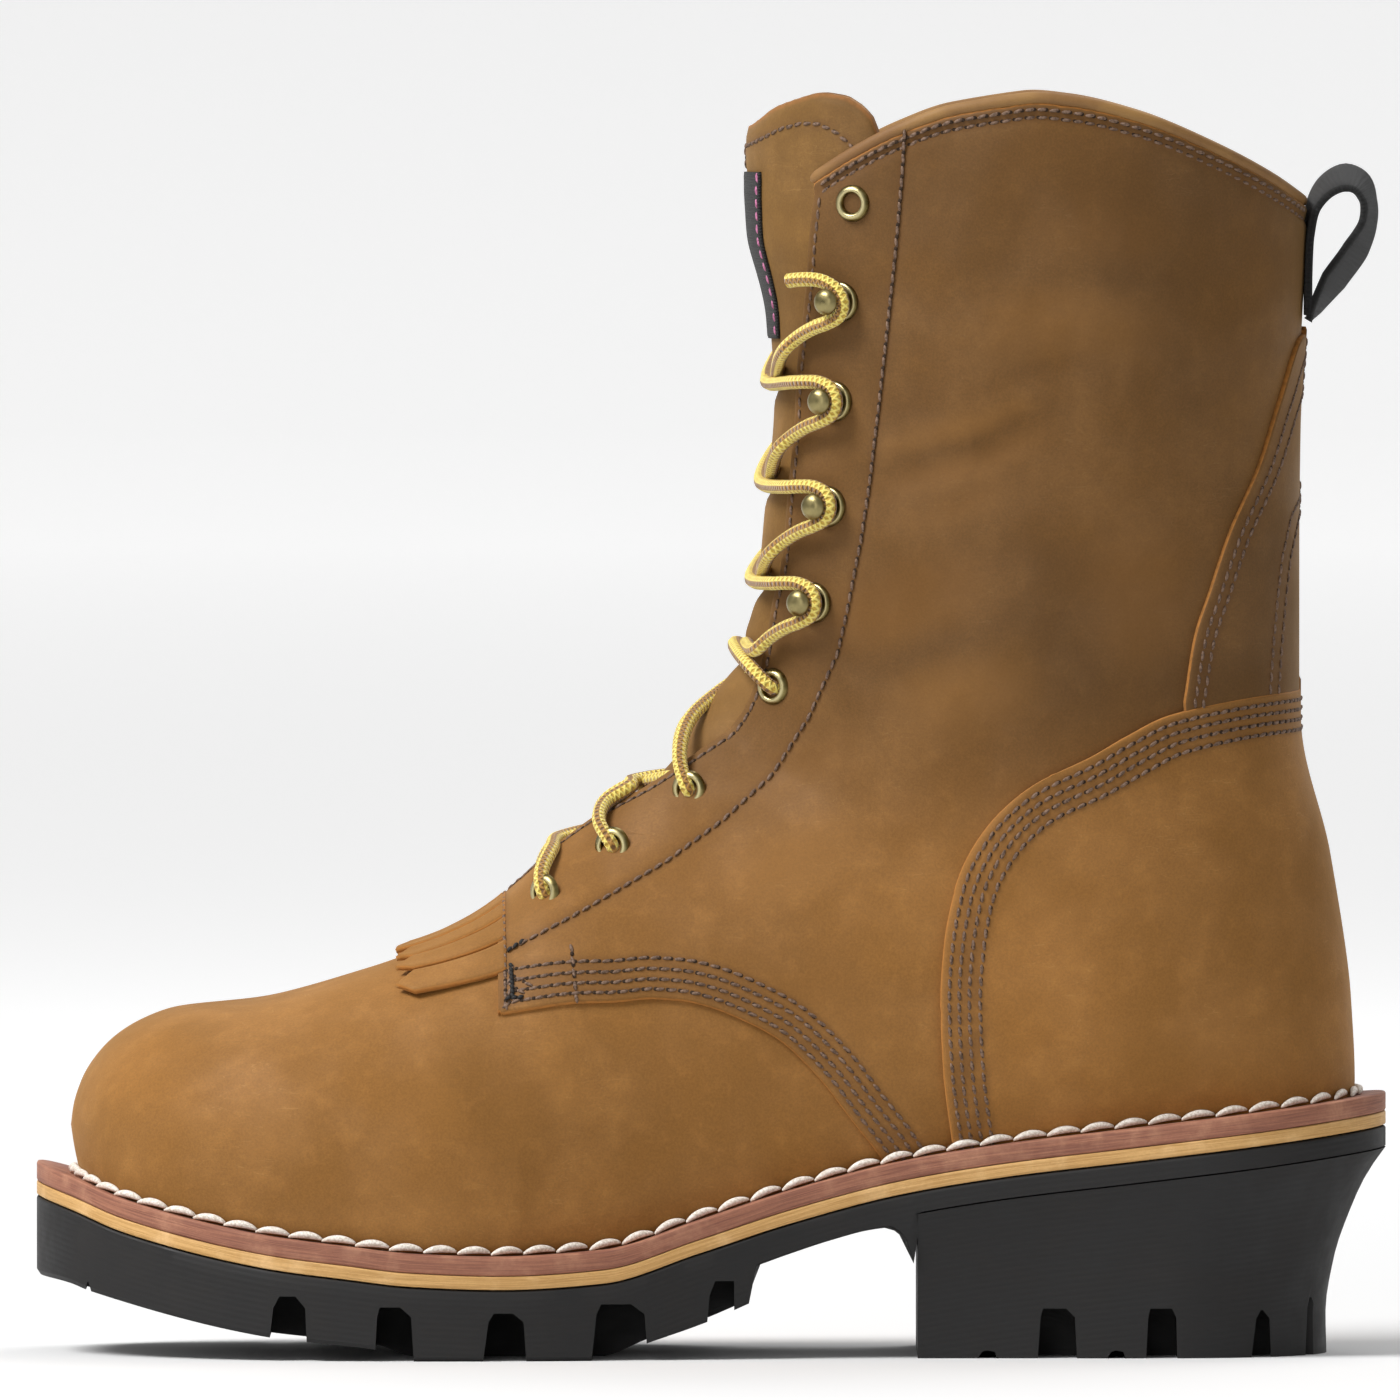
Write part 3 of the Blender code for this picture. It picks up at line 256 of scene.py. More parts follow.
ARCH = [
    (0.030, 0.350), (0.060, 0.405), (0.090, 0.455), (0.118, 0.492), (0.132, 0.500), (0.1435, 0.455),
    (0.1505, 0.345),
]

# %% [markdown]
# A pattern table is read through a curve that never overshoots its rows, so a shoulder stays a
# shoulder. The last is sampled finely once, and everything after that works on whole arrays of points,
# which keeps the script quick.


# %% Read a pattern table smoothly
def smooth(table, place, column=1):
    """A smooth curve through the rows of a table, which doesn't overshoot them."""
    if place <= table[0][0]:
        return table[0][column]
    if place >= table[-1][0]:
        return table[-1][column]
    i = max(k for k in range(len(table) - 1) if table[k][0] <= place)

    def slope(k):
        if k == 0 or k == len(table) - 1:
            k = min(max(k, 1), len(table) - 1)
            return (table[k][column] - table[k - 1][column]) / (table[k][0] - table[k - 1][0])
        before = (table[k][column] - table[k - 1][column]) / (table[k][0] - table[k - 1][0])
        after = (table[k + 1][column] - table[k][column]) / (table[k + 1][0] - table[k][0])
        return 0.0 if before * after <= 0 else 2 * before * after / (before + after)

    width = table[i + 1][0] - table[i][0]
    u = (place - table[i][0]) / width
    rise = table[i + 1][column] - table[i][column]
    start, end = slope(i) * width, slope(i + 1) * width
    bend = (3 * rise - 2 * start - end) * u**2
    return table[i][column] + start * u + bend + (start + end - 2 * rise) * u**3


def sampled(table, column=1, count=1201):
    at = np.linspace(table[0][0], table[-1][0], count)
    return at, np.array([smooth(table, value, column) for value in at])


RIDE_CURVE = sampled(RIDE)
COLLAR_CURVE = sampled(COLLAR_EDGE)
THROAT_CURVE = sampled(THROAT)
OUTLINE_CURVES = [sampled(OUTLINE, column) for column in (1, 2)]
LAST_STEP = len(SECTIONS) - 1
STEP_LIST = np.linspace(0, LAST_STEP, 100 * LAST_STEP + 1)
SHAPE = np.array(
    [
        [smooth([(k, row[c]) for k, row in enumerate(SECTIONS)], step) for step in STEP_LIST]
        for c in range(10)
    ]
)


# %% Points and normals of the last
def sole_top(x):
    return np.interp(np.asarray(x) / SOLE_LENGTH, *RIDE_CURVE) * HEEL_HEIGHT


def spot(place, height):
    """A point of the side view, from shares to metres."""
    x = place * SOLE_LENGTH
    return x, sole_top(x) + height * SHAFT_HEIGHT


def sections(step):
    """Near and far points and shape of the last's sections at an array of steps."""
    rows = [np.interp(step, STEP_LIST, column) for column in SHAPE]
    near = spot(rows[0], rows[1])
    far = spot(rows[2], rows[3])
    return near, far, rows[4] * UPPER_WIDTH, rows[5] * UPPER_WIDTH, rows[6] * UPPER_WIDTH, rows[7:]


def last_points(step, angle, side):
    """Points of the last: angle 0 is the near point and pi the far one, side -1 outer, 1 inner."""
    step, angle, side = np.broadcast_arrays(*[np.asarray(v, float) for v in (step, angle, side)])
    near, far, shift, outer, inner, (widest, near_square, far_square) = sections(step)
    front = angle < math.pi / 2
    square = np.where(front, near_square, far_square)
    reach = np.abs(np.cos(angle)) ** (2 / square)
    across = np.abs(np.sin(angle)) ** (2 / square)
    along = np.where(front, widest * (1 - reach), widest + (1 - widest) * reach)
    half = np.where(side < 0, outer, inner)
    x = near[0] + (far[0] - near[0]) * along
    z = near[1] + (far[1] - near[1]) * along
    return np.stack([x, shift + side * half * across, z], axis=-1)


def last_normals(step, angle, side):
    """Outward normals, from small steps along and around the last."""
    step, angle, side = np.broadcast_arrays(*[np.asarray(v, float) for v in (step, angle, side)])
    step = np.clip(step, 0.05, LAST_STEP - 0.05)
    angle = np.clip(angle, 0.05, math.pi - 0.05)
    d = 0.04
    along = last_points(step + d, angle, side) - last_points(step - d, angle, side)
    around = last_points(step, angle + d, side) - last_points(step, angle - d, side)
    normal = np.cross(along, around) * side[..., None]
    return normal / np.linalg.norm(normal, axis=-1, keepdims=True)


def ridge_normals(step, angle, side):
    """Normals that lie in the middle plane at the near and far lines, so both halves meet there."""
    normal = last_normals(step, angle, side)
    angle = np.broadcast_to(angle, normal.shape[:-1])
    edge = np.clip(np.minimum(angle, math.pi - angle) / 0.12, 0, 1)
    normal[..., 1] *= edge
    return normal / np.linalg.norm(normal, axis=-1, keepdims=True)


def locate(x, z):
    """The steps and angles of the last at places of the side view."""
    x, z = np.atleast_1d(np.asarray(x, float)), np.atleast_1d(np.asarray(z, float))
    tries = STEP_LIST[STEP_LIST >= 1.5]
    near, far = sections(tries)[:2]
    off = (far[0] - near[0]) * (z[:, None] - near[1]) - (far[1] - near[1]) * (x[:, None] - near[0])
    crossing = off[:, :-1] * off[:, 1:] <= 0
    k = np.where(crossing.any(axis=1), crossing.argmax(axis=1), len(tries) - 2)
    rows = np.arange(len(x))
    a, b = off[rows, k], off[rows, k + 1]
    step = tries[k] + (tries[k + 1] - tries[k]) * np.clip(a / np.where(a == b, 1, a - b), 0, 1)
    near, far, _, _, _, (widest, near_square, far_square) = sections(step)
    run = (far[0] - near[0]) ** 2 + (far[1] - near[1]) ** 2
    along = ((x - near[0]) * (far[0] - near[0]) + (z - near[1]) * (far[1] - near[1])) / run
    along = np.clip(along, 0, 1)
    front = along < widest
    low = np.arccos(np.clip(1 - along / widest, 0, 1) ** (near_square / 2))
    high = math.pi - np.arccos(np.clip((along - widest) / (1 - widest), 0, 1) ** (far_square / 2))
    return step, np.where(front, low, high)


print("last sampled at", len(STEP_LIST), "steps")

# %% [markdown]
# ## Creases
#
# Worn leather isn't a smooth form. A maker sees where it has been pressed and bent: soft diagonal
# folds in the shaft, a roll above the ankle, a slight dent in the toe. Each is placed here, in
# millimetres of the side view, as a trough (negative depth) or a ridge that fades at both ends. Every
# panel is pushed in or out by the same folds, so a fold runs on under a seam.

# %% Table of soft troughs and ridges
# Side (-1 outer, 1 inner, 0 both), half width, depth, then the line's points, all in millimetres
FOLDS = [
    (-1, 4.5, -0.75, [(38, 203), (52, 207), (64, 210), (78, 218)]),
    (-1, 5.0, 0.55, [(36, 211), (50, 215), (64, 219), (76, 226)]),
    (-1, 3.6, -0.50, [(46, 196), (58, 199), (70, 204)]),
    (-1, 3.2, -0.40, [(60, 222), (72, 228), (86, 232)]),
    (-1, 11, -0.9, [(28, 168), (46, 176), (66, 182)]),
    (-1, 12, 0.7, [(34, 150), (56, 156), (80, 160)]),
    (-1, 9, -0.7, [(8, 128), (24, 138), (40, 150)]),
    (-1, 10, 0.6, [(2, 108), (18, 116), (34, 130)]),
    (-1, 16, 0.9, [(60, 118), (72, 112)]),
    (-1, 14, -0.8, [(96, 196), (100, 176), (98, 158)]),
    (-1, 12, -0.6, [(70, 258), (88, 262), (108, 258)]),
    (-1, 13, 0.6, [(60, 240), (84, 246), (110, 240)]),
    (-1, 8, -0.6, [(-108, 66), (-104, 54), (-96, 46)]),
    (-1, 8, 0.35, [(-120, 62), (-116, 50)]),
    (-1, 6, -0.45, [(-58, 72), (-50, 62), (-44, 52)]),
    (-1, 7, 0.4, [(-70, 74), (-62, 62), (-57, 50)]),
    (-1, 6, 0.35, [(-44, 76), (-36, 64), (-32, 52)]),
    (-1, 10, -0.5, [(4, 92), (22, 84), (36, 72)]),
    (-1, 14, -0.6, [(96, 70), (116, 74), (132, 70)]),
    (1, 4.5, -0.7, [(34, 192), (50, 200), (68, 205)]),
    (1, 5.0, 0.5, [(34, 201), (50, 209), (68, 214)]),
    (1, 11, -0.9, [(26, 166), (48, 172), (70, 176)]),
    (1, 12, 0.7, [(34, 150), (58, 154), (82, 158)]),
    (1, 9, -0.7, [(6, 124), (24, 134), (42, 148)]),
    (1, 16, 1.0, [(56, 122), (70, 118)]),
    (1, 13, 0.6, [(64, 236), (88, 242), (110, 236)]),
    (1, 14, -0.7, [(96, 198), (100, 178), (98, 160)]),
    (1, 8, -0.5, [(-110, 58), (-104, 48), (-96, 42)]),
    (1, 6, -0.4, [(-60, 70), (-52, 60), (-46, 50)]),
    (1, 7, 0.4, [(-72, 72), (-64, 60), (-60, 48)]),
]


def along_line(points, line):
    """Distance to a line of side-view points, and how far along it the nearest place is."""
    best = np.full(points.shape[:-1], 1e9)
    share = np.zeros(points.shape[:-1])
    line = np.asarray(line, float)
    lengths = np.linalg.norm(np.diff(line, axis=0), axis=1)
    before = np.concatenate([[0], np.cumsum(lengths)])
    for k, (a, b) in enumerate(zip(line, line[1:])):
        t = np.clip(((points - a) @ (b - a)) / lengths[k] ** 2, 0, 1)
        away = np.linalg.norm(points - (a + t[..., None] * (b - a)), axis=-1)
        closer = away < best
        best = np.where(closer, away, best)
        share = np.where(closer, (before[k] + t * lengths[k]) / before[-1], share)
    return best, share


def relief(points, side):
    """How far the leather stands in or out of the last, in metres."""
    flat = points[..., [0, 2]] * 1000
    push = np.zeros(flat.shape[:-1])
    side = np.broadcast_to(side, push.shape)
    inward = np.clip(np.abs(points[..., 1]) / 0.012, 0, 1)
    for which, width, depth, line in FOLDS:
        away, share = along_line(flat, line)
        fade = np.sin(np.clip(share * 0.9 + 0.05, 0, 1) * math.pi) ** 0.7
        amount = depth * np.exp(-((away / width) ** 2)) * fade * inward
        push += np.where((which == 0) | (side == which), amount, 0)
    return push / 1000


print("folds placed:", len(FOLDS))

# %% [markdown]
# ## Materials
#
# Every finish starts from what the real one is. Colours are sRGB hex values, turned to linear once.
# Patterns read Object coordinates in metres, so a scale of 1000 means one cell a millimetre. The
# panels carry three attributes of their own: `edge` (1 on a cut edge), `seam` (1 on a stitch line)
# and `fold` (below 0 in a trough, above 0 on a ridge).


# %% One helper for colours and one for nodes
def linear(hex_colour):
    parts = [int(hex_colour[i : i + 2], 16) / 255 for i in (1, 3, 5)]
    return (*[c / 12.92 if c <= 0.04045 else ((c + 0.055) / 1.055) ** 2.4 for c in parts], 1.0)


def add(tree, kind, links=None, **settings):
    """Adds a node with its settings, and sets or links its inputs."""
    made = tree.nodes.new(kind)
    for name, value in settings.items():
        setattr(made, name, value)
    for name, value in (links or {}).items():
        if isinstance(value, bpy.types.NodeSocket):
            tree.links.new(value, made.inputs[name])
        else:
            made.inputs[name].default_value = value
    return made


def new_material(name, **shader_inputs):
    made = bpy.data.materials.new(name)
    made.use_nodes = True
    shader = made.node_tree.nodes["Principled BSDF"]
    for socket, value in shader_inputs.items():
        shader.inputs[socket.replace("_", " ")].default_value = value
    return made, made.node_tree, shader


def mixed(tree, share, first, second, mode="MIX"):
    """A colour between two, by a share from 0 to 1."""
    made = add(tree, "ShaderNodeMix", data_type="RGBA", blend_type=mode)
    for socket, value in ((made.inputs[0], share), (made.inputs[6], first), (made.inputs[7], second)):
        if isinstance(value, bpy.types.NodeSocket):
            tree.links.new(value, socket)
        else:
            socket.default_value = value
    return made.outputs[2]


def ranged(tree, value, low, high, to_low=0.0, to_high=1.0):
    """A value's stretch from low to high, spread from to_low to to_high and held at the ends."""
    links = {"Value": value, "From Min": low, "From Max": high, "To Min": to_low, "To Max": to_high}
    return add(tree, "ShaderNodeMapRange", links, interpolation_type="SMOOTHSTEP").outputs["Result"]


def noise(tree, where, scale, detail=3.0, roughness=0.55, distortion=0.0):
    links = {
        "Vector": where, "Scale": scale, "Detail": detail, "Roughness": roughness, "Distortion": distortion,
    }
    return add(tree, "ShaderNodeTexNoise", links).outputs["Fac"]


def calc(tree, a, b, operation="MULTIPLY"):
    """Two values multiplied, or joined by another operation that is named."""
    return add(tree, "ShaderNodeMath", {0: a, 1: b}, operation=operation).outputs[0]


def tinted(tree, tone, rows):
    """Lays colours over a tone, each as (pattern, low, high, share at low, share at high, colour)."""
    for pattern, low, high, to_low, to_high, colour in rows:
        tone = mixed(tree, ranged(tree, pattern, low, high, to_low, to_high), tone, linear(colour))
    return tone


def object_place(tree):
    """The place on the object in metres, which every pattern here is drawn from."""
    return add(tree, "ShaderNodeTexCoord").outputs["Object"]


def attribute(tree, name):
    return add(tree, "ShaderNodeAttribute", attribute_name=name).outputs["Fac"]


def bumped(tree, shader, layers):
    """Bump layers of (height, strength, distance in metres), the coarsest first."""
    normal = None
    for height, strength, distance in layers:
        links = {"Height": height, "Strength": strength, "Distance": distance}
        if normal is not None:
            links["Normal"] = normal
        normal = add(tree, "ShaderNodeBump", links).outputs["Normal"]
    tree.links.new(normal, shader.inputs["Normal"])


# %% [markdown]
# ** Oiled nubuck** is full-grain leather that is sanded on its outer side and then waxed. The nap is a
# fraction of a millimetre, so it is drawn as a very fine bump and a little sheen. Oil makes it darker
# in patches and lighter where it is bent or rubbed. The folds also change the colour: their ridges are
# painted lighter, partly as that wear and partly as painted highlight, and their troughs darker as
# painted shade. The shaft's panels are also painted darker towards the top, as painted shade.


# %% Oiled nubuck leather
# shaft is a colour multiplied over the panel towards the top of the shaft: painted shade
def nubuck(name, light, middle, dark, raw, shaft):
    made, tree, shader = new_material(name, Roughness=0.78, Sheen_Weight=0.22, Sheen_Roughness=0.45, IOR=1.48)
    shader.inputs["Sheen Tint"].default_value = linear("#E2B878")
    shader.inputs["Specular IOR Level"].default_value = 0.35
    where = object_place(tree)
    # Cloudy patches 100 mm and 30 mm across, mottling of 6 mm and nap of about 0.5 mm
    clouds = noise(tree, where, 11.0, 3.0, 0.5, 0.2)
    patches = noise(tree, where, 42.0, 3.0, 0.5, 0.1)
    mottle = noise(tree, where, 170.0, 5.0, 0.65)
    nap = noise(tree, where, 1900.0, 3.0, 0.7)
    tone = mixed(tree, ranged(tree, clouds, 0.36, 0.66), linear(dark), linear(middle))
    layers = [
        (patches, 0.42, 0.72, 0, 0.30, light),
        (mottle, 0.35, 0.65, 0.34, 0.0, dark),
        (mottle, 0.5, 0.75, 0.0, 0.22, light),
    ]
    tone = tinted(tree, tone, layers)
    speck = ranged(tree, nap, 0.3, 0.7, 0.88, 1.08)
    grey = add(tree, "ShaderNodeCombineColor", {0: speck, 1: speck, 2: speck}).outputs[0]
    tone = mixed(tree, 1.0, tone, grey, "MULTIPLY")
    # A long faint scratch here and there: stretched noise, cut to its thin crests
    turned = add(
        tree, "ShaderNodeMapping", {"Vector": where, "Rotation": (0.3, 0.5, 0.2), "Scale": (1, 1, 7)},
    )
    scratch = noise(tree, turned.outputs[0], 60.0, 2.0, 0.5)
    crest = calc(tree, calc(tree, scratch, 0.5, "SUBTRACT"), 0.0, "ABSOLUTE")
    line = ranged(tree, crest, 0.0, 0.006, 0.16, 0.0)
    tone = mixed(tree, calc(tree, line, ranged(tree, patches, 0.5, 0.6)), tone, linear("#C79B62"))
    # Painted shade: the panel is multiplied by the shaft colour from 105 to 165 mm up, a little less where
    # the clouds are pale
    height = add(tree, "ShaderNodeSeparateXYZ", {"Vector": where}).outputs["Z"]
    oiled = calc(tree, ranged(tree, height, 0.105, 0.165), ranged(tree, clouds, 0.3, 0.7, 1.0, 0.8))
    tone = mixed(tree, oiled, tone, linear(shaft), "MULTIPLY")
    # Painted shade in the folds' troughs; ridges lighter, partly rubbed wear and partly painted highlight
    fold = attribute(tree, "fold")
    tone = tinted(tree, tone, [(fold, 0.0, -0.8, 0.0, 0.35, dark), (fold, 0.0, 0.8, 0.0, 0.25, light)])
    # Painted shade along the stitch lines, for the shallow groove that each row presses in
    seam = attribute(tree, "seam")
    tone = mixed(tree, ranged(tree, seam, 0.0, 1.0, 0.0, 0.45), tone, linear("#5E3D1C"))
    edge = attribute(tree, "edge")
    rough = noise(tree, where, 700.0, 2.0)
    cut = calc(tree, ranged(tree, edge, 0.5, 0.95), ranged(tree, rough, 0.3, 0.6, 0.55, 1.0))
    tone = mixed(tree, cut, tone, linear(raw))
    tree.links.new(tone, shader.inputs["Base Color"])
    tree.links.new(ranged(tree, patches, 0.3, 0.7, 0.86, 0.66), shader.inputs["Roughness"])
    bumped(tree, shader, [(patches, 0.25, 0.0012), (mottle, 0.28, 0.0004), (nap, 0.30, 0.00012)])
    return made


# The last colour is painted shade towards the top of the shaft: the shaft's copy is darkened there, the
# foot's not at all and the tongue's a little
SHAFT_LEATHER = nubuck("oiled nubuck shaft leather", "#A8763A", "#93652D", "#805726", "#A86E30", "#B6B9C0")
FOOT_LEATHER = nubuck("oiled nubuck foot leather", "#AC783A", "#97672E", "#835926", "#A86E30", "#FFFFFF")
TONGUE_LEATHER = nubuck("tongue nubuck leather", "#966E3A", "#825E2A", "#68481E", "#8A5A2C", "#F0F0F0")
print("nubuck nodes:", len(SHAFT_LEATHER.node_tree.nodes))


# %% [markdown]
# **The lining** is smooth split leather, seen where the shaft is open. **The sole's strips** show the
# hide cut across: fibres in thin layers, which follow the strip, so their pattern reads the distance
# below the welt's top and not the height.


# %% Lining and cut leather edges
def plain_leather(name, colour, dark, roughness, grain=900.0, depth=0.0002):
    """Smooth leather with grain cells of about a millimetre and soft patches."""
    made, tree, shader = new_material(name, Roughness=roughness, IOR=1.48)
    where = object_place(tree)
    patches = noise(tree, where, 45.0, 4.0)
    cells = add(tree, "ShaderNodeTexVoronoi", {"Vector": where, "Scale": grain}, feature="DISTANCE_TO_EDGE")
    tone = mixed(tree, ranged(tree, patches, 0.35, 0.7), linear(dark), linear(colour))
    tree.links.new(tone, shader.inputs["Base Color"])
    bumped(tree, shader, [(patches, 0.2, 0.0008), (cells.outputs["Distance"], 0.35, depth)])
    return made


LINING = plain_leather("smooth leather lining", "#B98A58", "#9C7044", 0.6)
print("lining ready")


def stacked_leather(name, light, middle, dark, roughness):
    """The cut side of a leather strip: fibres in thin layers, 0.3 to 1 mm apart, along the edge."""
    made, tree, shader = new_material(name, Roughness=roughness, IOR=1.47)
    where = object_place(tree)
    level = attribute(tree, "level")
    spread = add(tree, "ShaderNodeSeparateXYZ", {0: where})
    axes = [(spread.outputs[0], 60.0), (spread.outputs[1], 60.0), (level, 2600.0)]
    stretched = {k: calc(tree, value, scale) for k, (value, scale) in enumerate(axes)}
    flat = add(tree, "ShaderNodeCombineXYZ", stretched)
    fibre = noise(tree, flat.outputs[0], 1.0, 4.0, 0.65, 0.5)
    patches = noise(tree, where, 120.0, 3.0)
    fine = noise(tree, where, 1500.0, 2.0)
    tone = mixed(tree, ranged(tree, fibre, 0.35, 0.65), linear(dark), linear(middle))
    tone = mixed(tree, ranged(tree, patches, 0.45, 0.75, 0, 0.6), tone, linear(light))
    tone = mixed(tree, ranged(tree, fine, 0.3, 0.7, 0.25, 0.0), tone, linear(dark))
    tree.links.new(tone, shader.inputs["Base Color"])
    bumped(tree, shader, [(fibre, 0.5, 0.0003), (fine, 0.25, 0.0001)])
    return made


WELT_LEATHER = stacked_leather("red-brown welt leather, cut edge", "#BE8A6C", "#A26C53", "#80503F", 0.68)
MIDSOLE_LEATHER = stacked_leather("tan midsole leather, cut edge", "#E6BE88", "#D4A86A", "#B68A4E", 0.62)


# %% [markdown]
# **Moulded rubber** is dark and a little satin. The mould leaves fine lines along the side, and the
# surface has a grit of a few tenths of a millimetre.


# %% Moulded black rubber
def moulded_rubber():
    made, tree, shader = new_material("moulded black rubber", Roughness=0.6, IOR=1.45)
    where = object_place(tree)
    grit = noise(tree, where, 900.0, 3.0)
    dust = noise(tree, where, 90.0, 4.0, 0.6)
    level = attribute(tree, "level")
    # Mould lines 1.4 mm apart, measured down from the top of the rubber
    lines = calc(tree, calc(tree, level, 4488.0), 0.0, "SINE")
    tone = mixed(tree, ranged(tree, dust, 0.35, 0.75), linear("#131212"), linear("#1E1C1B"))
    tree.links.new(tone, shader.inputs["Base Color"])
    tree.links.new(ranged(tree, dust, 0.3, 0.7, 0.55, 0.72), shader.inputs["Roughness"])
    bumped(tree, shader, [(lines, 0.08, 0.0003), (grit, 0.3, 0.0001)])
    return made


RUBBER = moulded_rubber()


# %% [markdown]
# **Antique brass** is dipped dark and rubbed back. The `wear` attribute marks where a piece stands
# highest, which is where rubbing brings the bright metal out.


# %% Antique brass
def antique_brass():
    """Brass darkened in a bath and rubbed back, so edges and domes are brighter than the flats."""
    made, tree, shader = new_material("antique brass", Metallic=1.0, Roughness=0.34)
    where = object_place(tree)
    patina = noise(tree, where, 420.0, 4.0, 0.6)
    wear = attribute(tree, "wear")
    tone = mixed(tree, ranged(tree, patina, 0.35, 0.7), linear("#6E6238"), linear("#8C7E50"))
    tone = mixed(tree, wear, tone, linear("#C9BD8E"))
    tree.links.new(tone, shader.inputs["Base Color"])
    tree.links.new(ranged(tree, patina, 0.3, 0.7, 0.26, 0.44), shader.inputs["Roughness"])
    bumped(tree, shader, [(patina, 0.15, 0.00008)])
    return made


BRASS = antique_brass()


# %% [markdown]
# **The lace** is a round braid in yellow, with three brown stripes evenly around it. The
# stripes and the braid's diagonal stitches follow the cord, so this material reads the lace's UV map,
# where U is the length in metres and V goes once around.


# %% Braided lace
def braided_lace():
    made, tree, shader = new_material("braided polyester lace", Roughness=0.72, Sheen_Weight=0.3, IOR=1.5)
    uv = add(tree, "ShaderNodeUVMap", uv_map="along").outputs["UV"]
    parts = add(tree, "ShaderNodeSeparateXYZ", {0: uv})
    around = calc(tree, parts.outputs[1], 2 * math.pi * 3)
    stripe = calc(tree, around, 0.0, "COSINE")
    # Braid stitches 1.3 mm long, 8 around, leaning both ways
    run = calc(tree, parts.outputs[0], 2 * math.pi / 0.0013)
    lean = calc(tree, parts.outputs[1], 2 * math.pi * 4)
    one = calc(tree, calc(tree, run, lean, "ADD"), 0.0, "SINE")
    two = calc(tree, calc(tree, run, lean, "SUBTRACT"), 0.0, "SINE")
    braid = calc(tree, one, two, "MAXIMUM")
    edge = ranged(tree, calc(tree, stripe, calc(tree, braid, 0.18), "ADD"), 0.40, 0.62)
    # Painted shade and highlight: darker between the braid's stitches and lighter on their crests, as the
    # bump's own pattern
    tone = mixed(tree, ranged(tree, braid, -0.2, 0.9), linear("#C9A437"), linear("#F1DE72"))
    brown = mixed(tree, ranged(tree, braid, -0.2, 0.9), linear("#6E4A1E"), linear("#A97B34"))
    tone = mixed(tree, edge, tone, brown)
    tree.links.new(tone, shader.inputs["Base Color"])
    bumped(tree, shader, [(braid, 0.7, 0.00035)])
    return made


LACE_BRAID = braided_lace()


# %% [markdown]
# **Thread** is too thin for its plies to show, so mottling stands for them. **Webbing** is woven
# with ribs across it, which read the tape's own UV map, so they turn with it round the loop.


# %% Threads and webbing
def thread(name, colour, dark, roughness=0.7):
    """Twisted waxed thread, its plies too fine to show, so a soft mottling stands for them."""
    made, tree, shader = new_material(name, Roughness=roughness, IOR=1.45)
    where = object_place(tree)
    plies = noise(tree, where, 1600.0, 2.0)
    tone = mixed(tree, ranged(tree, plies, 0.35, 0.65), linear(dark), linear(colour))
    tree.links.new(tone, shader.inputs["Base Color"])
    bumped(tree, shader, [(plies, 0.4, 0.0002)])
    return made


UPPER_THREAD = thread("brown waxed thread", "#7D6452", "#543F30")
# Painted shade of the needle holes: small dark flat marks set between the stitches, with no hole cut
HOLE_SHADE = thread("needle hole", "#33210F", "#281A0D", 0.9)
WELT_THREAD = thread("cream waxed welt thread", "#F0E9E0", "#CFC4B6", 0.6)
PINK_THREAD = thread("pink label thread", "#C77BA0", "#9A5578")
BLACK_THREAD = thread("black thread", "#22201F", "#151413")


def black_webbing(name, rib):
    """Woven polyester tape with ribs across it, which read the tape's UV map in metres."""
    made, tree, shader = new_material(name, Roughness=0.7, Sheen_Weight=0.08, IOR=1.45)
    uv = add(tree, "ShaderNodeUVMap", uv_map="along").outputs["UV"]
    parts = add(tree, "ShaderNodeSeparateXYZ", {0: uv})
    ribs = calc(tree, calc(tree, parts.outputs[0], 2 * math.pi / rib), 0.0, "SINE")
    weft = calc(tree, calc(tree, parts.outputs[1], 2 * math.pi / (rib * 0.8)), 0.0, "SINE")
    weave = calc(tree, ribs, weft)
    tone = mixed(tree, ranged(tree, weave, -0.6, 0.8), linear("#070707"), linear("#151414"))
    tree.links.new(tone, shader.inputs["Base Color"])
    bumped(tree, shader, [(calc(tree, ribs, weave, "ADD"), 0.6, 0.0003)])
    return made


WEBBING = black_webbing("black ribbed webbing", 0.0011)
LABEL_CLOTH = black_webbing("black woven label", 0.0007)
print("materials:", len(bpy.data.materials))

# %% [markdown]
# ## Camera and light
#
# The photo looks at the boot's outer side through a very long lens, from barely above level, so the
# camera stands eight metres away and 1.3 degrees up. Its lens is worked out from the photo's own scale.

# %% Camera at the photo's angle
PHOTO_SIZE = 1400
MM_PER_PIXEL = 0.23447
CAMERA_AWAY = 8.0
CAMERA_RISE = math.radians(1.3)
AIM = Vector((-0.0026, -0.015, 0.1535))
camera_data = bpy.data.cameras.new("studio camera")
camera_data.sensor_width = 36.0
frame_width = PHOTO_SIZE * MM_PER_PIXEL / 1000
camera_data.lens = camera_data.sensor_width * CAMERA_AWAY / frame_width
camera = bpy.data.objects.new("studio camera", camera_data)
bpy.context.scene.collection.objects.link(camera)
camera.location = AIM + Vector((0, -math.cos(CAMERA_RISE), math.sin(CAMERA_RISE))) * CAMERA_AWAY
camera.rotation_euler = (math.pi / 2 - CAMERA_RISE, 0, 0)
bpy.context.scene.camera = camera
print("lens in mm:", round(camera_data.lens, 1))

# %% Mesh helpers
def run_along(points):
    """The length run from a line's start to each of its points."""
    return np.concatenate([[0], np.cumsum(np.linalg.norm(np.diff(points, axis=0), axis=1))])


def line_length(points):
    return float(np.linalg.norm(np.diff(points, axis=0), axis=1).sum())


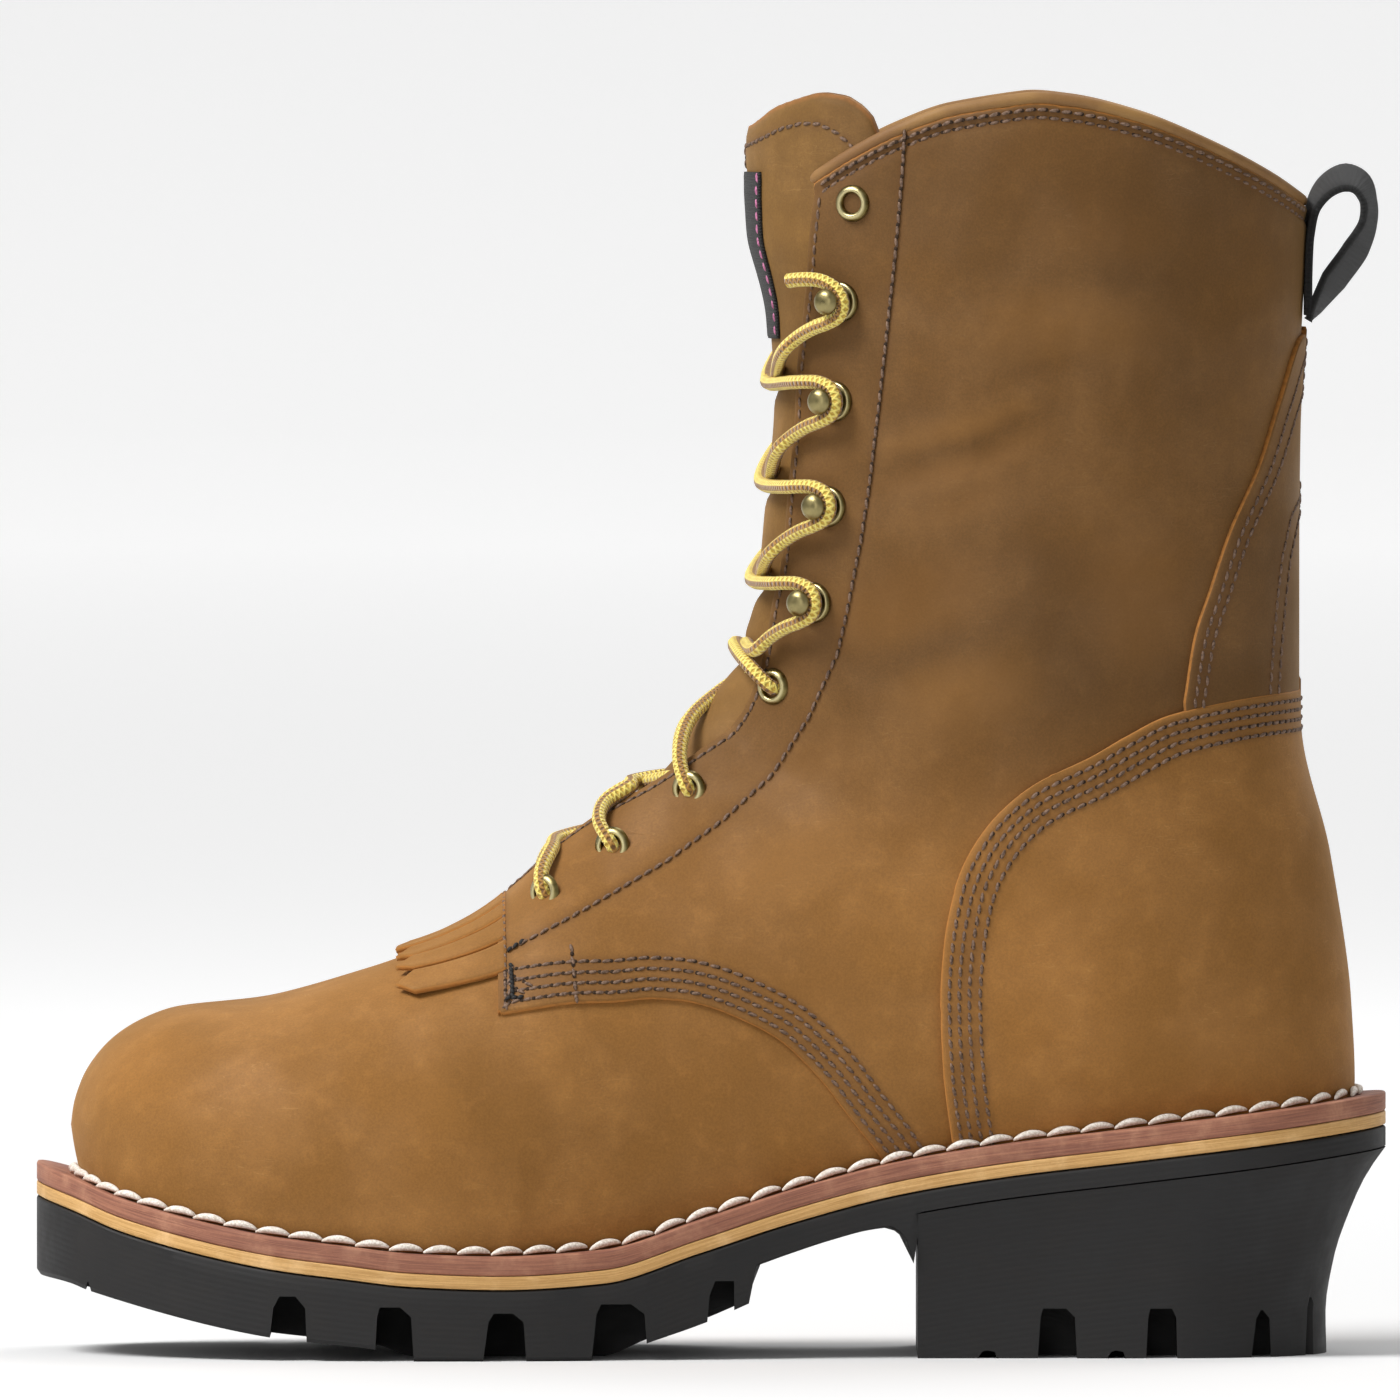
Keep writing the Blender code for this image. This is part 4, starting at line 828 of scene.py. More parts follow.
def clean_mesh(mesh, merge=None, face_out=True):
    """Merges points that lie closer than a distance, and turns the faces outward."""
    bm = bmesh.new()
    bm.from_mesh(mesh)
    if merge is not None:
        bmesh.ops.remove_doubles(bm, verts=bm.verts, dist=merge)
    if face_out:
        bmesh.ops.recalc_face_normals(bm, faces=bm.faces)
    bm.to_mesh(mesh)
    bm.free()


def grid_faces(index):
    """The four-sided faces of a grid of point numbers, and its rim as a ring and the ring's next points."""
    corners = [index[:-1, :-1], index[:-1, 1:], index[1:, 1:], index[1:, :-1]]
    ring = np.concatenate([index[0, :-1], index[:-1, -1], index[-1, :0:-1], index[:0:-1, 0]])
    return np.stack(corners, axis=-1).reshape(-1, 4), ring, np.roll(ring, -1)


def new_object(name, mesh, finishes, smooth_shade=True):
    """Links a finished mesh that lies in its own place, with its materials."""
    made = bpy.data.objects.new(name, mesh)
    bpy.context.scene.collection.objects.link(made)
    for finish in finishes if isinstance(finishes, (list, tuple)) else [finishes]:
        mesh.materials.append(finish)
    if smooth_shade:
        mesh.shade_smooth()
    return made


def mesh_from(name, vertices, faces, values=None, uvs=None, indices=None):
    """A mesh from arrays, with float attributes on its points and a UV for each of them."""
    mesh = bpy.data.meshes.new(name)
    mesh.from_pydata([tuple(v) for v in np.asarray(vertices, float)], [], faces)
    for key, data in (values or {}).items():
        attribute = mesh.attributes.new(key, "FLOAT", "POINT")
        attribute.data.foreach_set("value", np.asarray(data, np.float32))
    if uvs is not None:
        layer = mesh.uv_layers.new(name="along")
        corners = np.empty(len(mesh.loops), np.int32)
        mesh.loops.foreach_get("vertex_index", corners)
        layer.data.foreach_set("uv", np.asarray(uvs, np.float32)[corners].ravel())
    if indices is not None:
        mesh.polygons.foreach_set("material_index", np.asarray(indices, np.int32))
    mesh.update()
    return mesh


def ride(piece, slot, *nodes):
    """The piece moves with the boot and stands for CAD nodes, which it hides; slot is not used."""
    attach(piece, "root")
    if nodes:
        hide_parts(*nodes)
    return piece


def plain_mesh(made):
    """Turns an object's live modifiers into a plain mesh that lies in its own place."""
    bpy.context.view_layer.update()
    graph = bpy.context.evaluated_depsgraph_get()
    mesh = bpy.data.meshes.new_from_object(
        made.evaluated_get(graph), preserve_all_data_layers=True, depsgraph=graph,
    )
    mesh.transform(made.matrix_world)
    made.modifiers.clear()
    made.data = mesh
    made.matrix_world = Matrix.Identity(4)
    return made


def even_line(points, count):
    """Points at even steps of length along a line, in any number of dimensions."""
    points = np.asarray(points, float)
    run = run_along(points)
    at = np.linspace(0, run[-1], count)
    return np.stack([np.interp(at, run, points[:, k]) for k in range(points.shape[1])], axis=1)


def table_line(edge, per_row=10):
    """A finer line through an edge's rows, in metres of the side view."""
    rows = list(enumerate(edge))
    steps = np.linspace(0, len(edge) - 1, (len(edge) - 1) * per_row + 1)
    places = [smooth([(i, row[0]) for i, row in rows], s) for s in steps]
    heights = [smooth([(i, row[1]) for i, row in rows], s) for s in steps]
    return np.array([spot(p, h) for p, h in zip(places, heights)])


print("camera and helpers ready")

# %% [markdown]
# ## Panels of leather
#
# A boot's upper is cut from flat hide and pulled over the last, so each panel is a patch of the last's
# surface between four edges, with the thickness of the hide. The patch is a grid that blends its four
# edges (a Coons patch) in the last's own steps and angles. The hide's edge is rounded a little, and its
# cut side is a paler raw leather, which the `edge` attribute marks.


# %% Edges in the last's own steps and angles
def edge_from_side(line):
    step, angle = locate(line[:, 0], line[:, 1])
    return np.stack([step, angle], axis=1)


def at_width(steps, across, side, low=0.0, high=1.0):
    """Angles at which sections reach a width from the middle, seen from the front."""
    _, _, shift, outer, inner, (_, square, _) = sections(steps)
    share = (across - side * shift) / (outer if side < 0 else inner)
    return np.arcsin(np.clip(share, low, high) ** (square / 2))


def throat_half(z):
    """Half of the slot between the quarters at a height."""
    return np.interp((z - sole_top(0)) / SHAFT_HEIGHT, *THROAT_CURVE) * UPPER_WIDTH


def throat_edge(side, low=8.02, high=LAST_STEP - 0.3, count=160):
    """The quarter's edge along the throat, as steps and angles from the vamp up."""
    steps = np.linspace(low, high, count)
    angle = np.full(count, 0.2)
    for _ in range(12):
        z = last_points(steps, angle, side)[:, 2]
        angle = 0.5 * angle + 0.5 * at_width(steps, throat_half(z), side, high=0.98)
    return np.stack([steps, angle], axis=1)


def welt_angle(step, side, rise=GAP):
    """Angle at which a section meets the welt's top, or pi where it doesn't reach it."""
    angles = np.linspace(0.6, math.pi, 500)
    found = []
    for one in np.atleast_1d(step):
        points = last_points(one, angles, side)
        under = points[:, 2] < sole_top(points[:, 0]) + rise
        found.append(angles[under.argmax()] if under.any() else math.pi)
    return np.array(found)


def collar_z(x):
    places, heights = COLLAR_CURVE
    return sole_top(x) + np.interp(np.asarray(x) / SOLE_LENGTH, places, heights) * SHAFT_HEIGHT


def collar_steps(angles, side, lower=0.0):
    """Steps at which lines of equal angle meet the collar's edge."""
    steps = np.linspace(LAST_STEP - 8, LAST_STEP, 600)
    found = []
    for one in np.atleast_1d(angles):
        points = last_points(steps, one, side)
        over = points[:, 2] > collar_z(points[:, 0]) - lower
        found.append(steps[over.argmax()] if over.any() else steps[-1])
    return np.array(found)


def patch(left, right, bottom, top, rows, columns, border):
    """A grid between four edges, its outermost lines a border's width inside them."""

    def shares(count):
        inner = np.linspace(border, 1 - border, count - 2)
        return np.concatenate([[0], inner, [1]])

    u, v = shares(rows), shares(columns)

    def at(line, share):
        line = np.asarray(line, float)
        scaled = line * np.array([1.0, 3.0])
        run = run_along(scaled)
        return np.stack([np.interp(share * run[-1], run, line[:, k]) for k in range(2)], axis=1)

    lefts, rights, bottoms, tops = at(left, u), at(right, u), at(bottom, v), at(top, v)
    uu, vv = u[:, None, None], v[None, :, None]
    grid = (1 - vv) * lefts[:, None] + vv * rights[:, None] + (1 - uu) * bottoms[None] + uu * tops[None]
    low = (1 - vv) * lefts[0] + vv * rights[0]
    high = (1 - vv) * lefts[-1] + vv * rights[-1]
    return grid - ((1 - uu) * low + uu * high)


def hide(name, grid, side, outer, inner, finishes, round_edge=0.00035, seams=(), extra=None, open_ends=()):
    """A closed panel of leather over a grid of steps and angles, from its inner to its outer face.

    open_ends names the edges of the grid ('left', 'right', 'bottom', 'top') that run under another
    panel, which keep their full height.
    """
    rows, columns = grid.shape[:2]
    side = np.broadcast_to(side, (rows, columns))
    base = last_points(grid[..., 0], grid[..., 1], side)
    normal = ridge_normals(grid[..., 0], grid[..., 1], side)
    push = relief(base, side)
    if extra is not None:
        push = push + extra(base, grid, side)
    drop = np.zeros((rows, columns))
    edge = np.zeros((rows, columns))
    for end, where in (
        ("bottom", np.s_[0, :]), ("top", np.s_[-1, :]), ("left", np.s_[:, 0]), ("right", np.s_[:, -1]),
    ):
        if end not in open_ends:
            drop[where] = round_edge
            edge[where] = 1.0
    outside = base + normal * (outer + push - drop)[..., None]
    inside = base + normal * (inner + push)[..., None]
    # The seam values mark the stitch lines, which the nubuck paints darker as painted shade
    seam = np.zeros((rows, columns))
    flat = base[..., [0, 2]]
    for line in seams:
        away = along_line(flat, line)[0]
        seam = np.maximum(seam, np.exp(-((away / 0.0011) ** 2)))
    count = rows * columns
    index = np.arange(count).reshape(rows, columns)
    quads, ring, after = grid_faces(index)
    rim = np.stack([after, ring, ring + count, after + count], axis=-1)
    middle = (rows // 2, columns // 2)
    across = outside[middle[0], middle[1] + 1] - outside[middle]
    upward = outside[middle[0] + 1, middle[1]] - outside[middle]
    flip = float(np.cross(across, upward) @ normal[middle]) < 0
    outer_faces = quads[:, ::-1] if flip else quads
    inner_faces = (quads if flip else quads[:, ::-1]) + count
    rim = rim[:, ::-1] if flip else rim
    faces = np.concatenate([outer_faces, inner_faces, rim]).tolist()
    parts = [np.zeros(len(quads)), np.ones(len(quads)), np.zeros(len(rim))]
    # The fold values carry the push: the nubuck paints troughs darker as painted shade, ridges lighter
    values = {
        "edge": np.concatenate([edge.ravel(), np.ones(count)]),
        "seam": np.concatenate([seam.ravel(), np.zeros(count)]),
        "fold": np.concatenate([(push * 1000).ravel(), np.zeros(count)]),
    }
    if len(finishes) == 1:
        parts = [part * 0 for part in parts]
    vertices = np.concatenate([outside.reshape(-1, 3), inside.reshape(-1, 3)])
    mesh = mesh_from(name, vertices, faces, values, indices=np.concatenate(parts))
    clean_mesh(mesh, merge=0.000002, face_out=False)
    made = new_object(name, mesh, finishes)
    print(name, "faces:", len(mesh.polygons))
    return made


def both_sides(outer_half, inner_half):
    """Joins two half grids that meet at their last column, and the side of each column."""
    grid = np.concatenate([outer_half, inner_half[:, -2::-1]], axis=1)
    side = np.concatenate([np.full(outer_half.shape[1], -1.0), np.full(inner_half.shape[1] - 1, 1.0)])
    return grid, side[None, :]


# %% [markdown]
# **Quarters** are the two large panels that make the shaft and the sides of the foot. Their front edge
# stands on the vamp, their throat edge carries the eyelets and hooks, and they meet at the heel.

# %% Stitch lines, in millimetres of the side view
EYESTAY_SEAM = [
    (45.5, 286.3), (45.0, 277.1), (43.4, 257.9), (41.3, 237.3), (38.5, 211.5), (35.6, 191.6), (30.0, 164.6),
    (23.4, 149.8), (14.5, 136.0), (2.8, 125.0), (-10.1, 115.6), (-28.1, 105.0), (-46.0, 95.0),
]
ROWS_FROM_EDGE = (0.0021, 0.0044, 0.0068, 0.0093)
BACKSTAY_ROWS = (0.0022, 0.0041)
REINFORCEMENT_SEAM = [
    (137.0, 203.5), (133.6, 196.5), (131.6, 187.0), (130.6, 178.0), (129.6, 166.0), (129.0, 156.2),
]
COLLAR_ROWS = (0.0012, 0.0031)


def offset_line(line, distance):
    """A line beside another in the side view, on its left where the distance is positive."""
    line = even_line(line, 200)
    way = np.gradient(line, axis=0)
    way /= np.linalg.norm(way, axis=1, keepdims=True)
    return line + distance * np.stack([-way[:, 1], way[:, 0]], axis=1)


def metres(points):
    return even_line(np.array(points) / 1000, 200)


quarter_line = table_line(QUARTER_EDGE)
quarter_bottom = quarter_line[quarter_line[:, 0] > -0.157 * SOLE_LENGTH + 0.0004]
quarter_bottom = np.concatenate([[spot(-0.156, 0.233)], quarter_bottom])
counter_line = table_line(COUNTER_EDGE)
backstay_line = table_line(BACKSTAY_EDGE)
collar_places = np.linspace(0.078, 0.4385, 200) * SOLE_LENGTH
collar_line = np.stack([collar_places, collar_z(collar_places)], axis=1)
quarter_rows = [offset_line(quarter_bottom, d) for d in ROWS_FROM_EDGE]
counter_rows = [offset_line(counter_line[::-1], -d)[::-1] for d in ROWS_FROM_EDGE]
backstay_rows = [offset_line(backstay_line, d) for d in BACKSTAY_ROWS]
collar_rows = [collar_line - [0, d] for d in COLLAR_ROWS]
reinforcement_rows = [metres(REINFORCEMENT_SEAM) + [shift, 0] for shift in (0, 0.0019)]
eyestay = metres(EYESTAY_SEAM)
front_places = spot(-0.157, 0.24), spot(-0.157, 0.40)
front_row = np.linspace(*front_places, 60) + [0.0019, 0]
print("stitch rows:", len(quarter_rows) + len(counter_rows) + len(backstay_rows) + len(collar_rows) + 4)

# %% Quarters
COLLAR_FOLD = 0.0029


def quarter_push(base, grid, side):
    """The groove under the rolled edge, and a soft eyestay."""
    below = collar_z(base[..., 0]) - base[..., 2]
    groove = -0.0006 * np.exp(-(((below - COLLAR_FOLD) / 0.0011) ** 2))
    away = along_line(base[..., [0, 2]], eyestay)[0]
    return groove - 0.00025 * np.exp(-((away / 0.0016) ** 2))


def quarter_grid(side, rows=210, columns=130):
    throat = throat_edge(side)
    first = edge_from_side(np.array([spot(-0.157, h) for h in np.linspace(0.233, 0.345, 30)]))
    first[:, 0] = np.linspace(first[0, 0], throat[0, 0], len(first))
    keep = first[:, 1] > throat[0, 1] + 0.02
    left = np.concatenate([first[keep], throat])
    angle_list = left[:, 1]
    top_step = collar_steps(angle_list[-40:], side)
    reach = np.nonzero(left[-40:, 0] >= top_step)[0]
    cut = len(left) - 40 + (reach[0] if len(reach) else 39)
    left = left[: cut + 1]
    left[-1, 0] = collar_steps([left[-1, 1]], side)[0]
    bottom = edge_from_side(quarter_bottom)
    limit = welt_angle(bottom[:, 0], side)
    over = np.nonzero(bottom[:, 1] > limit)[0]
    end = over[0] if len(over) else len(bottom) - 1
    bottom = bottom[:end]
    steps = np.linspace(bottom[-1, 0], 15.2, 90)
    angles = welt_angle(steps, side)
    bottom = np.concatenate([bottom, [[steps[0], angles[0]]]])
    bottom[0] = left[0]
    back = np.stack([np.linspace(15.3, collar_steps([math.pi], side)[0], 60), np.full(60, math.pi)], axis=1)
    right = np.concatenate([np.stack([steps, angles], axis=1), back])
    sweep = np.linspace(left[-1, 1], math.pi, 160)
    top = np.stack([collar_steps(sweep, side), sweep], axis=1)
    top[0], top[-1] = left[-1], right[-1]
    return patch(left, right, bottom, top, rows, columns, 0.0028)


for side, word in ((-1, "outer"), (1, "inner")):
    seams = quarter_rows + collar_rows + reinforcement_rows + [eyestay, front_row]
    quarter = hide(
        f"{word}_quarter",
        quarter_grid(side),
        side,
        QUARTER_STEP,
        -VAMP_WALL,
        [SHAFT_LEATHER, LINING],
        seams=seams,
        extra=quarter_push,
        open_ends=("right",),
    )
    ride(quarter, "upper_leather", "upper")

# %% [markdown]
# **The vamp** covers the toes. It is one panel from the welt on one side over the ridge to the welt on
# the other, and it runs on under the quarters. Its grid closes in a point at the toe's tip.


# %% Vamp
def vamp_grid(rows=150, columns=181):
    fractions = np.linspace(-1, 1, columns)
    steps = np.linspace(0.02, 12.6, 900)
    half = {}
    for side in (-1, 1):
        limit = welt_angle(steps, side)
        half[side] = limit
    line = last_points(steps, half[-1] * 0.45, -1)
    run = run_along(line)
    grid = np.zeros((rows, columns, 2))
    sides = np.where(fractions < 0, -1.0, 1.0)
    for column, fraction in enumerate(fractions):
        side = int(sides[column])
        share = abs(fraction)
        end = 8.2 + (12.4 - 8.2) * min(1.0, share / 0.22) ** 1.2
        last = np.interp(end, steps, run)
        step = np.interp(np.linspace(0, last, rows), run, steps)
        grid[:, column, 0] = step
        grid[:, column, 1] = share * np.interp(step, steps, half[side])
    return grid, sides[None, :]


grid, sides = vamp_grid()
vamp = hide(
    "vamp", grid, sides, 0.0, -VAMP_WALL + 0.0002, [FOOT_LEATHER, LINING], open_ends=(
        "bottom", "top", "left", "right",
    )
)
ride(vamp, "upper_leather", "upper")

# %% [markdown]
# **The counter** is the stiff heel cover, sewn over the quarters with four rows. **The backstay** is
# the long panel above it. Both are bent round the heel in one piece, so their grids run from the outer
# front edge round the back to the inner one.


# %% Counter and backstay
def wrapped(left_line, top_line, bottom_of, rows, columns, border):
    """A panel round the back: its front edge, its top edge and its lower edge for each side."""
    halves = []
    for side in (-1, 1):
        left, top = edge_from_side(left_line), edge_from_side(top_line)
        top[-1, 1] = math.pi
        bottom = bottom_of(side, left[0])
        left[0] = bottom[0]
        top[0] = left[-1]
        right = np.stack([np.linspace(bottom[-1, 0], top[-1, 0], 40), np.full(40, math.pi)], axis=1)
        halves.append(patch(left, right, bottom, top, rows, columns, border))
    return both_sides(*halves)


def along_welt(side, start):
    steps = np.linspace(start[0], 15.0, 120)
    angles = welt_angle(steps, side)
    reached = np.nonzero(angles >= math.pi - 1e-6)[0]
    end = reached[0] if len(reached) else len(steps) - 1
    return np.stack([steps[: end + 1], np.append(angles[:end], math.pi)], axis=1)


counter_up = counter_line[::-1]
counter_up = counter_up[counter_up[:, 1] > sole_top(counter_up[:, 0]) + 0.0006]
corner = np.argmin(np.abs(counter_up[:, 0] - counter_up[:, 1] + 0.058))
grid, sides = wrapped(counter_up[: corner + 1], counter_up[corner:], along_welt, 110, 100, 0.006)
COUNTER_LIFT = QUARTER_STEP + GAP + OVERLAY
counter = hide(
    "counter", grid, sides, COUNTER_LIFT, QUARTER_STEP - 0.0002, [FOOT_LEATHER],
    seams=counter_rows, open_ends=("bottom",),
)
ride(counter, "upper_leather", "counter")

BACKSTAY_LIFT = COUNTER_LIFT - 0.0004
backstay_up = backstay_line[::-1]


def under_counter(side, start):
    """The backstay's lower edge runs under the counter, a few millimetres below its edge."""
    line = counter_up[corner:] - [0, 0.004]
    line = line[line[:, 0] > backstay_up[0, 0]]
    edge = edge_from_side(line)
    edge[-1, 1] = math.pi
    return edge


backstay_low = backstay_up[0] - [0.0004, 0.004]
backstay_front = np.concatenate([[backstay_low], backstay_up[:-12]])
grid, sides = wrapped(backstay_front, backstay_up[-13:], under_counter, 120, 44, 0.012)
backstay = hide(
    "backstay", grid, sides, BACKSTAY_LIFT, QUARTER_STEP - 0.0002, [SHAFT_LEATHER],
    seams=backstay_rows + reinforcement_rows, open_ends=("bottom",),
)
ride(backstay, "upper_leather", "backstay")

# %% [markdown]
# **The collar** is a strip of soft leather rolled over the top edge and turned in. It is a round bead
# that follows the edge from the throat round the back to the other side of the throat.


# %% Swept pieces: a section carried along a line
def frames(points, up=None):
    """Tangents and two cross directions along a line, turning as little as they can."""
    points = np.asarray(points, float)
    way = np.gradient(points, axis=0)
    way /= np.linalg.norm(way, axis=1, keepdims=True)
    first = np.array(up if up is not None else (0.0, 0.0, 1.0))
    side = first - way[0] * (first @ way[0])
    side /= np.linalg.norm(side)
    sides = [side]
    for k in range(1, len(points)):
        side = sides[-1] - way[k] * (sides[-1] @ way[k])
        sides.append(side / np.linalg.norm(side))
    sides = np.array(sides)
    return way, sides, np.cross(way, sides)


def swept(name, points, outline_of, finishes, up=None, sides=None, values=None):
    """A closed solid with an outline of (across, up) pairs at each point of a line, and its UVs."""
    points = np.asarray(points, float)
    way, one, two = frames(points, up)
    if sides is not None:
        one = sides - way * np.sum(sides * way, axis=1, keepdims=True)
        one /= np.linalg.norm(one, axis=1, keepdims=True)
        two = np.cross(way, one)
    run = run_along(points)
    rings = []
    for k in range(len(points)):
        shape = np.asarray(outline_of(k / (len(points) - 1), run[k], run[-1]), float)
        rings.append(points[k] + shape[:, :1] * one[k] + shape[:, 1:] * two[k])
    count = len(rings[0])
    vertices = np.concatenate(rings + [points[:1], points[-1:]])
    index = np.arange(len(points) * count).reshape(len(points), count)
    after = np.roll(index, -1, axis=1)
    quads = np.stack([index[:-1], after[:-1], after[1:], index[1:]], axis=-1).reshape(-1, 4).tolist()
    start, end = len(points) * count, len(points) * count + 1
    caps = [(start, after[0, j], index[0, j]) for j in range(count)]
    caps += [(end, index[-1, j], after[-1, j]) for j in range(count)]
    around = np.arange(count) / count
    uv = np.stack(np.broadcast_arrays(run[:, None], around[None, :]), axis=-1).reshape(-1, 2)
    uv = np.concatenate([uv, [[0, 0]], [[run[-1], 0]]])
    mesh = mesh_from(name, vertices, quads + [tuple(int(v) for v in cap) for cap in caps], values, uv)
    # V jumps from its last share back to 0 where the ring closes, so those corners get V 1
    layer = mesh.uv_layers["along"].data
    for polygon in mesh.polygons:
        loops = [layer[k].uv for k in polygon.loop_indices]
        if max(uv[1] for uv in loops) - min(uv[1] for uv in loops) > 0.5:
            for one_uv in loops:
                if one_uv[1] < 0.5:
                    one_uv[1] += 1.0
    return new_object(name, mesh, finishes)


def round_outline(radius, count=16, flat=1.0):
    turn = np.linspace(0, 2 * math.pi, count, endpoint=False)
    return np.stack([np.cos(turn) * radius, np.sin(turn) * radius * flat], axis=1)


def end_round(run, total, radius, reach):
    """Radius of a bead that closes in a half round at both ends."""
    away = min(run, total - run)
    return radius * math.sqrt(max(0.02, 1 - (1 - min(away / reach, 1)) ** 2))


# %% Rolled collar
BEAD_RADIUS = COLLAR_ROLL * 0.76
BEAD_ABOVE_EDGE = 0.0014
BEAD_INSIDE_PANEL = 0.0015
BEAD_END = 0.003
collar_route = []
for side in (-1, 1):
    first = throat_edge(side)
    begin = float(np.interp(22.0, first[:, 0], first[:, 1]))
    sweep_angles = np.linspace(begin + 0.02, math.pi, 150)
    steps = collar_steps(sweep_angles, side)
    steps = np.convolve(np.pad(steps, 4, mode="edge"), np.ones(9) / 9, mode="valid")
    line = last_points(steps, sweep_angles, side)
    line += ridge_normals(steps, sweep_angles, side) * (QUARTER_STEP - BEAD_INSIDE_PANEL)
    line[:, 2] = collar_z(line[:, 0]) + BEAD_ABOVE_EDGE
    collar_route.append(line)
collar_route = np.concatenate([collar_route[0], collar_route[1][-2::-1]])
collar_route = even_line(collar_route, 420)
collar = swept(
    "rolled_collar",
    collar_route,
    lambda share, run, total: round_outline(end_round(run, total, BEAD_RADIUS, BEAD_END), 18),
    plain_leather("rolled collar leather", "#96703C", "#7A552B", 0.66, 1100.0),
)
ride(collar, "collar_leather", "collar")
print("collar length in mm:", round(line_length(collar_route) * 1000, 1))

# %% [markdown]
# **The tongue** lies inside the throat and rises above the collar. Its sides run under the quarters,
# so only its middle shows. The plain black label on it is a woven patch, sewn along its edges.

# %% Tongue
TONGUE_TOP = [
    (-0.020, 1.045), (0.020, 1.052), (0.042, 1.061), (0.069, 1.062), (0.089, 1.054), (0.105, 1.038),
    (0.116, 1.018), (0.122, 0.985),
]
TONGUE_SIDE = [
    (-0.120, 0.330), (-0.060, 0.372), (0.000, 0.400), (0.045, 0.450), (0.083, 0.530), (0.100, 0.620),
    (0.110, 0.720), (0.117, 0.860), (0.119, 0.985),
]
TONGUE_OUTSIDE = -VAMP_WALL - GAP


def tongue_top(x):
    return sole_top(x) + np.interp(x / SOLE_LENGTH, *sampled(TONGUE_TOP)) * SHAFT_HEIGHT


def tongue_half(side):
    line = np.array([spot(*row) for row in TONGUE_SIDE])
    left = edge_from_side(even_line(line, 120))
    left = left[np.argsort(left[:, 0])]
    begin = 7.7
    left = np.concatenate([[[begin, 0.42]], left[left[:, 0] > begin + 0.4]])
    steps = np.linspace(20, LAST_STEP, 500)
    sweep_angles = np.linspace(0, left[-1, 1], 40)
    top = []
    for one in sweep_angles:
        points = last_points(steps, one, side)
        over = points[:, 2] > tongue_top(points[:, 0])
        top.append((steps[over.argmax()] if over.any() else steps[-1], one))
    top = np.array(top)
    left[-1] = top[-1]
    bottom = np.array([[begin, left[0, 1]], [begin, 0.0]])
    right = np.stack([np.linspace(begin, top[0, 0], 60), np.zeros(60)], axis=1)
    return patch(left, right, bottom, top[::-1], 170, 40, 0.006)


def tongue_push(base, grid, side):
    """The tongue's top rolls outwards a little, and it creases across where the foot bends."""
    roll = np.clip((base[..., 2] - (tongue_top(base[..., 0]) - TONGUE_ROLL)) / TONGUE_ROLL, 0, 1)
    crease = np.zeros(base.shape[:-1])
    for height, width, depth in TONGUE_CREASES:
        crease += depth * np.exp(-(((base[..., 2] * 1000 - height) / width) ** 2))
    for height in CROSSING_HEIGHTS:
        away = ((base[..., 2] * 1000 - height) / PRESS_HEIGHT) ** 2
        crease -= PRESS_DEPTH * np.exp(-away - (base[..., 1] / PRESS_WIDTH) ** 2)
    return -0.0008 * roll**2 + crease / 1000


TONGUE_CREASES = [
    (146, 5.0, 1.4), (155, 8.0, 2.4), (160, 3.4, -0.6), (168, 4.0, 0.5), (181, 4.0, -0.4), (262, 6.0, 0.4),
    (276, 3.0, -0.3),
]
# Heights at which the lace crosses over the tongue and presses it in, and the dent's size
CROSSING_HEIGHTS = [164.8, 181.3, 204.7, 228.1]
PRESS_DEPTH, PRESS_HEIGHT, PRESS_WIDTH = 1.9, 3.2, 0.009
TONGUE_ROLL = 0.014
TONGUE_SEAM = [
    (-6.0, 279.0), (2.0, 281.5), (8.4, 284.4), (14.3, 287.3), (19.5, 288.7), (23.4, 288.6), (27.2, 287.2),
    (31.4, 283.9), (35.5, 279.0),
]
tongue_rows = [metres(TONGUE_SEAM)]
grid, sides = both_sides(tongue_half(-1), tongue_half(1))
tongue = hide(
    "tongue", grid, sides, TONGUE_OUTSIDE, TONGUE_OUTSIDE - TONGUE + 0.0006, [TONGUE_LEATHER, LINING],
    seams=tongue_rows, extra=tongue_push, open_ends=("bottom",),
)
ride(tongue, "upper_leather", "tongue")

# %% [markdown]
# **The label** is a plain woven patch. It lies on the tongue and takes the tongue's own creases, so its
# grid is found on the last by width and height and pushed by the same function.

# %% Plain black label
LABEL_TOP, LABEL_BOTTOM, LABEL_HALF = 1.015, 0.852, 0.150


def label_grid():
    halves = []
    for side in (-1, 1):
        rows = []
        for share in np.linspace(0, 1, 42):
            height = LABEL_BOTTOM + (LABEL_TOP - LABEL_BOTTOM) * share
            z = sole_top(0) + height * SHAFT_HEIGHT
            half = LABEL_HALF * (0.8 + 0.2 * share) * UPPER_WIDTH
            steps = np.linspace(18, LAST_STEP, 500)
            row = []
            for across in np.linspace(1, 0, 14):
                angles = at_width(steps, half * across, side)
                points = last_points(steps, angles, side)
                k = int(np.argmin(np.abs(points[:, 2] - z)))
                row.append((steps[k], angles[k]))
            rows.append(row)
        halves.append(np.array(rows))
    return both_sides(*halves)


grid, sides = label_grid()
label_outer = TONGUE_OUTSIDE + GAP + 0.0006
label = hide(
    "tongue_label", grid, sides, label_outer, label_outer - 0.0008, [LABEL_CLOTH], round_edge=0.0002,
    extra=tongue_push,
)
points = np.array([v.co for v in label.data.vertices])
layer = label.data.uv_layers.new(name="along")
for loop in label.data.loops:
    x, y, z = points[loop.vertex_index]
    layer.data[loop.index].uv = (z, y)
ride(label, "black_webbing", "tongue_label")

# %% [markdown]
# One row of pink thread holds each side of the patch. Both rows face the front, where the side view
# can't place them, so rays from the front find where they lie on the patch.

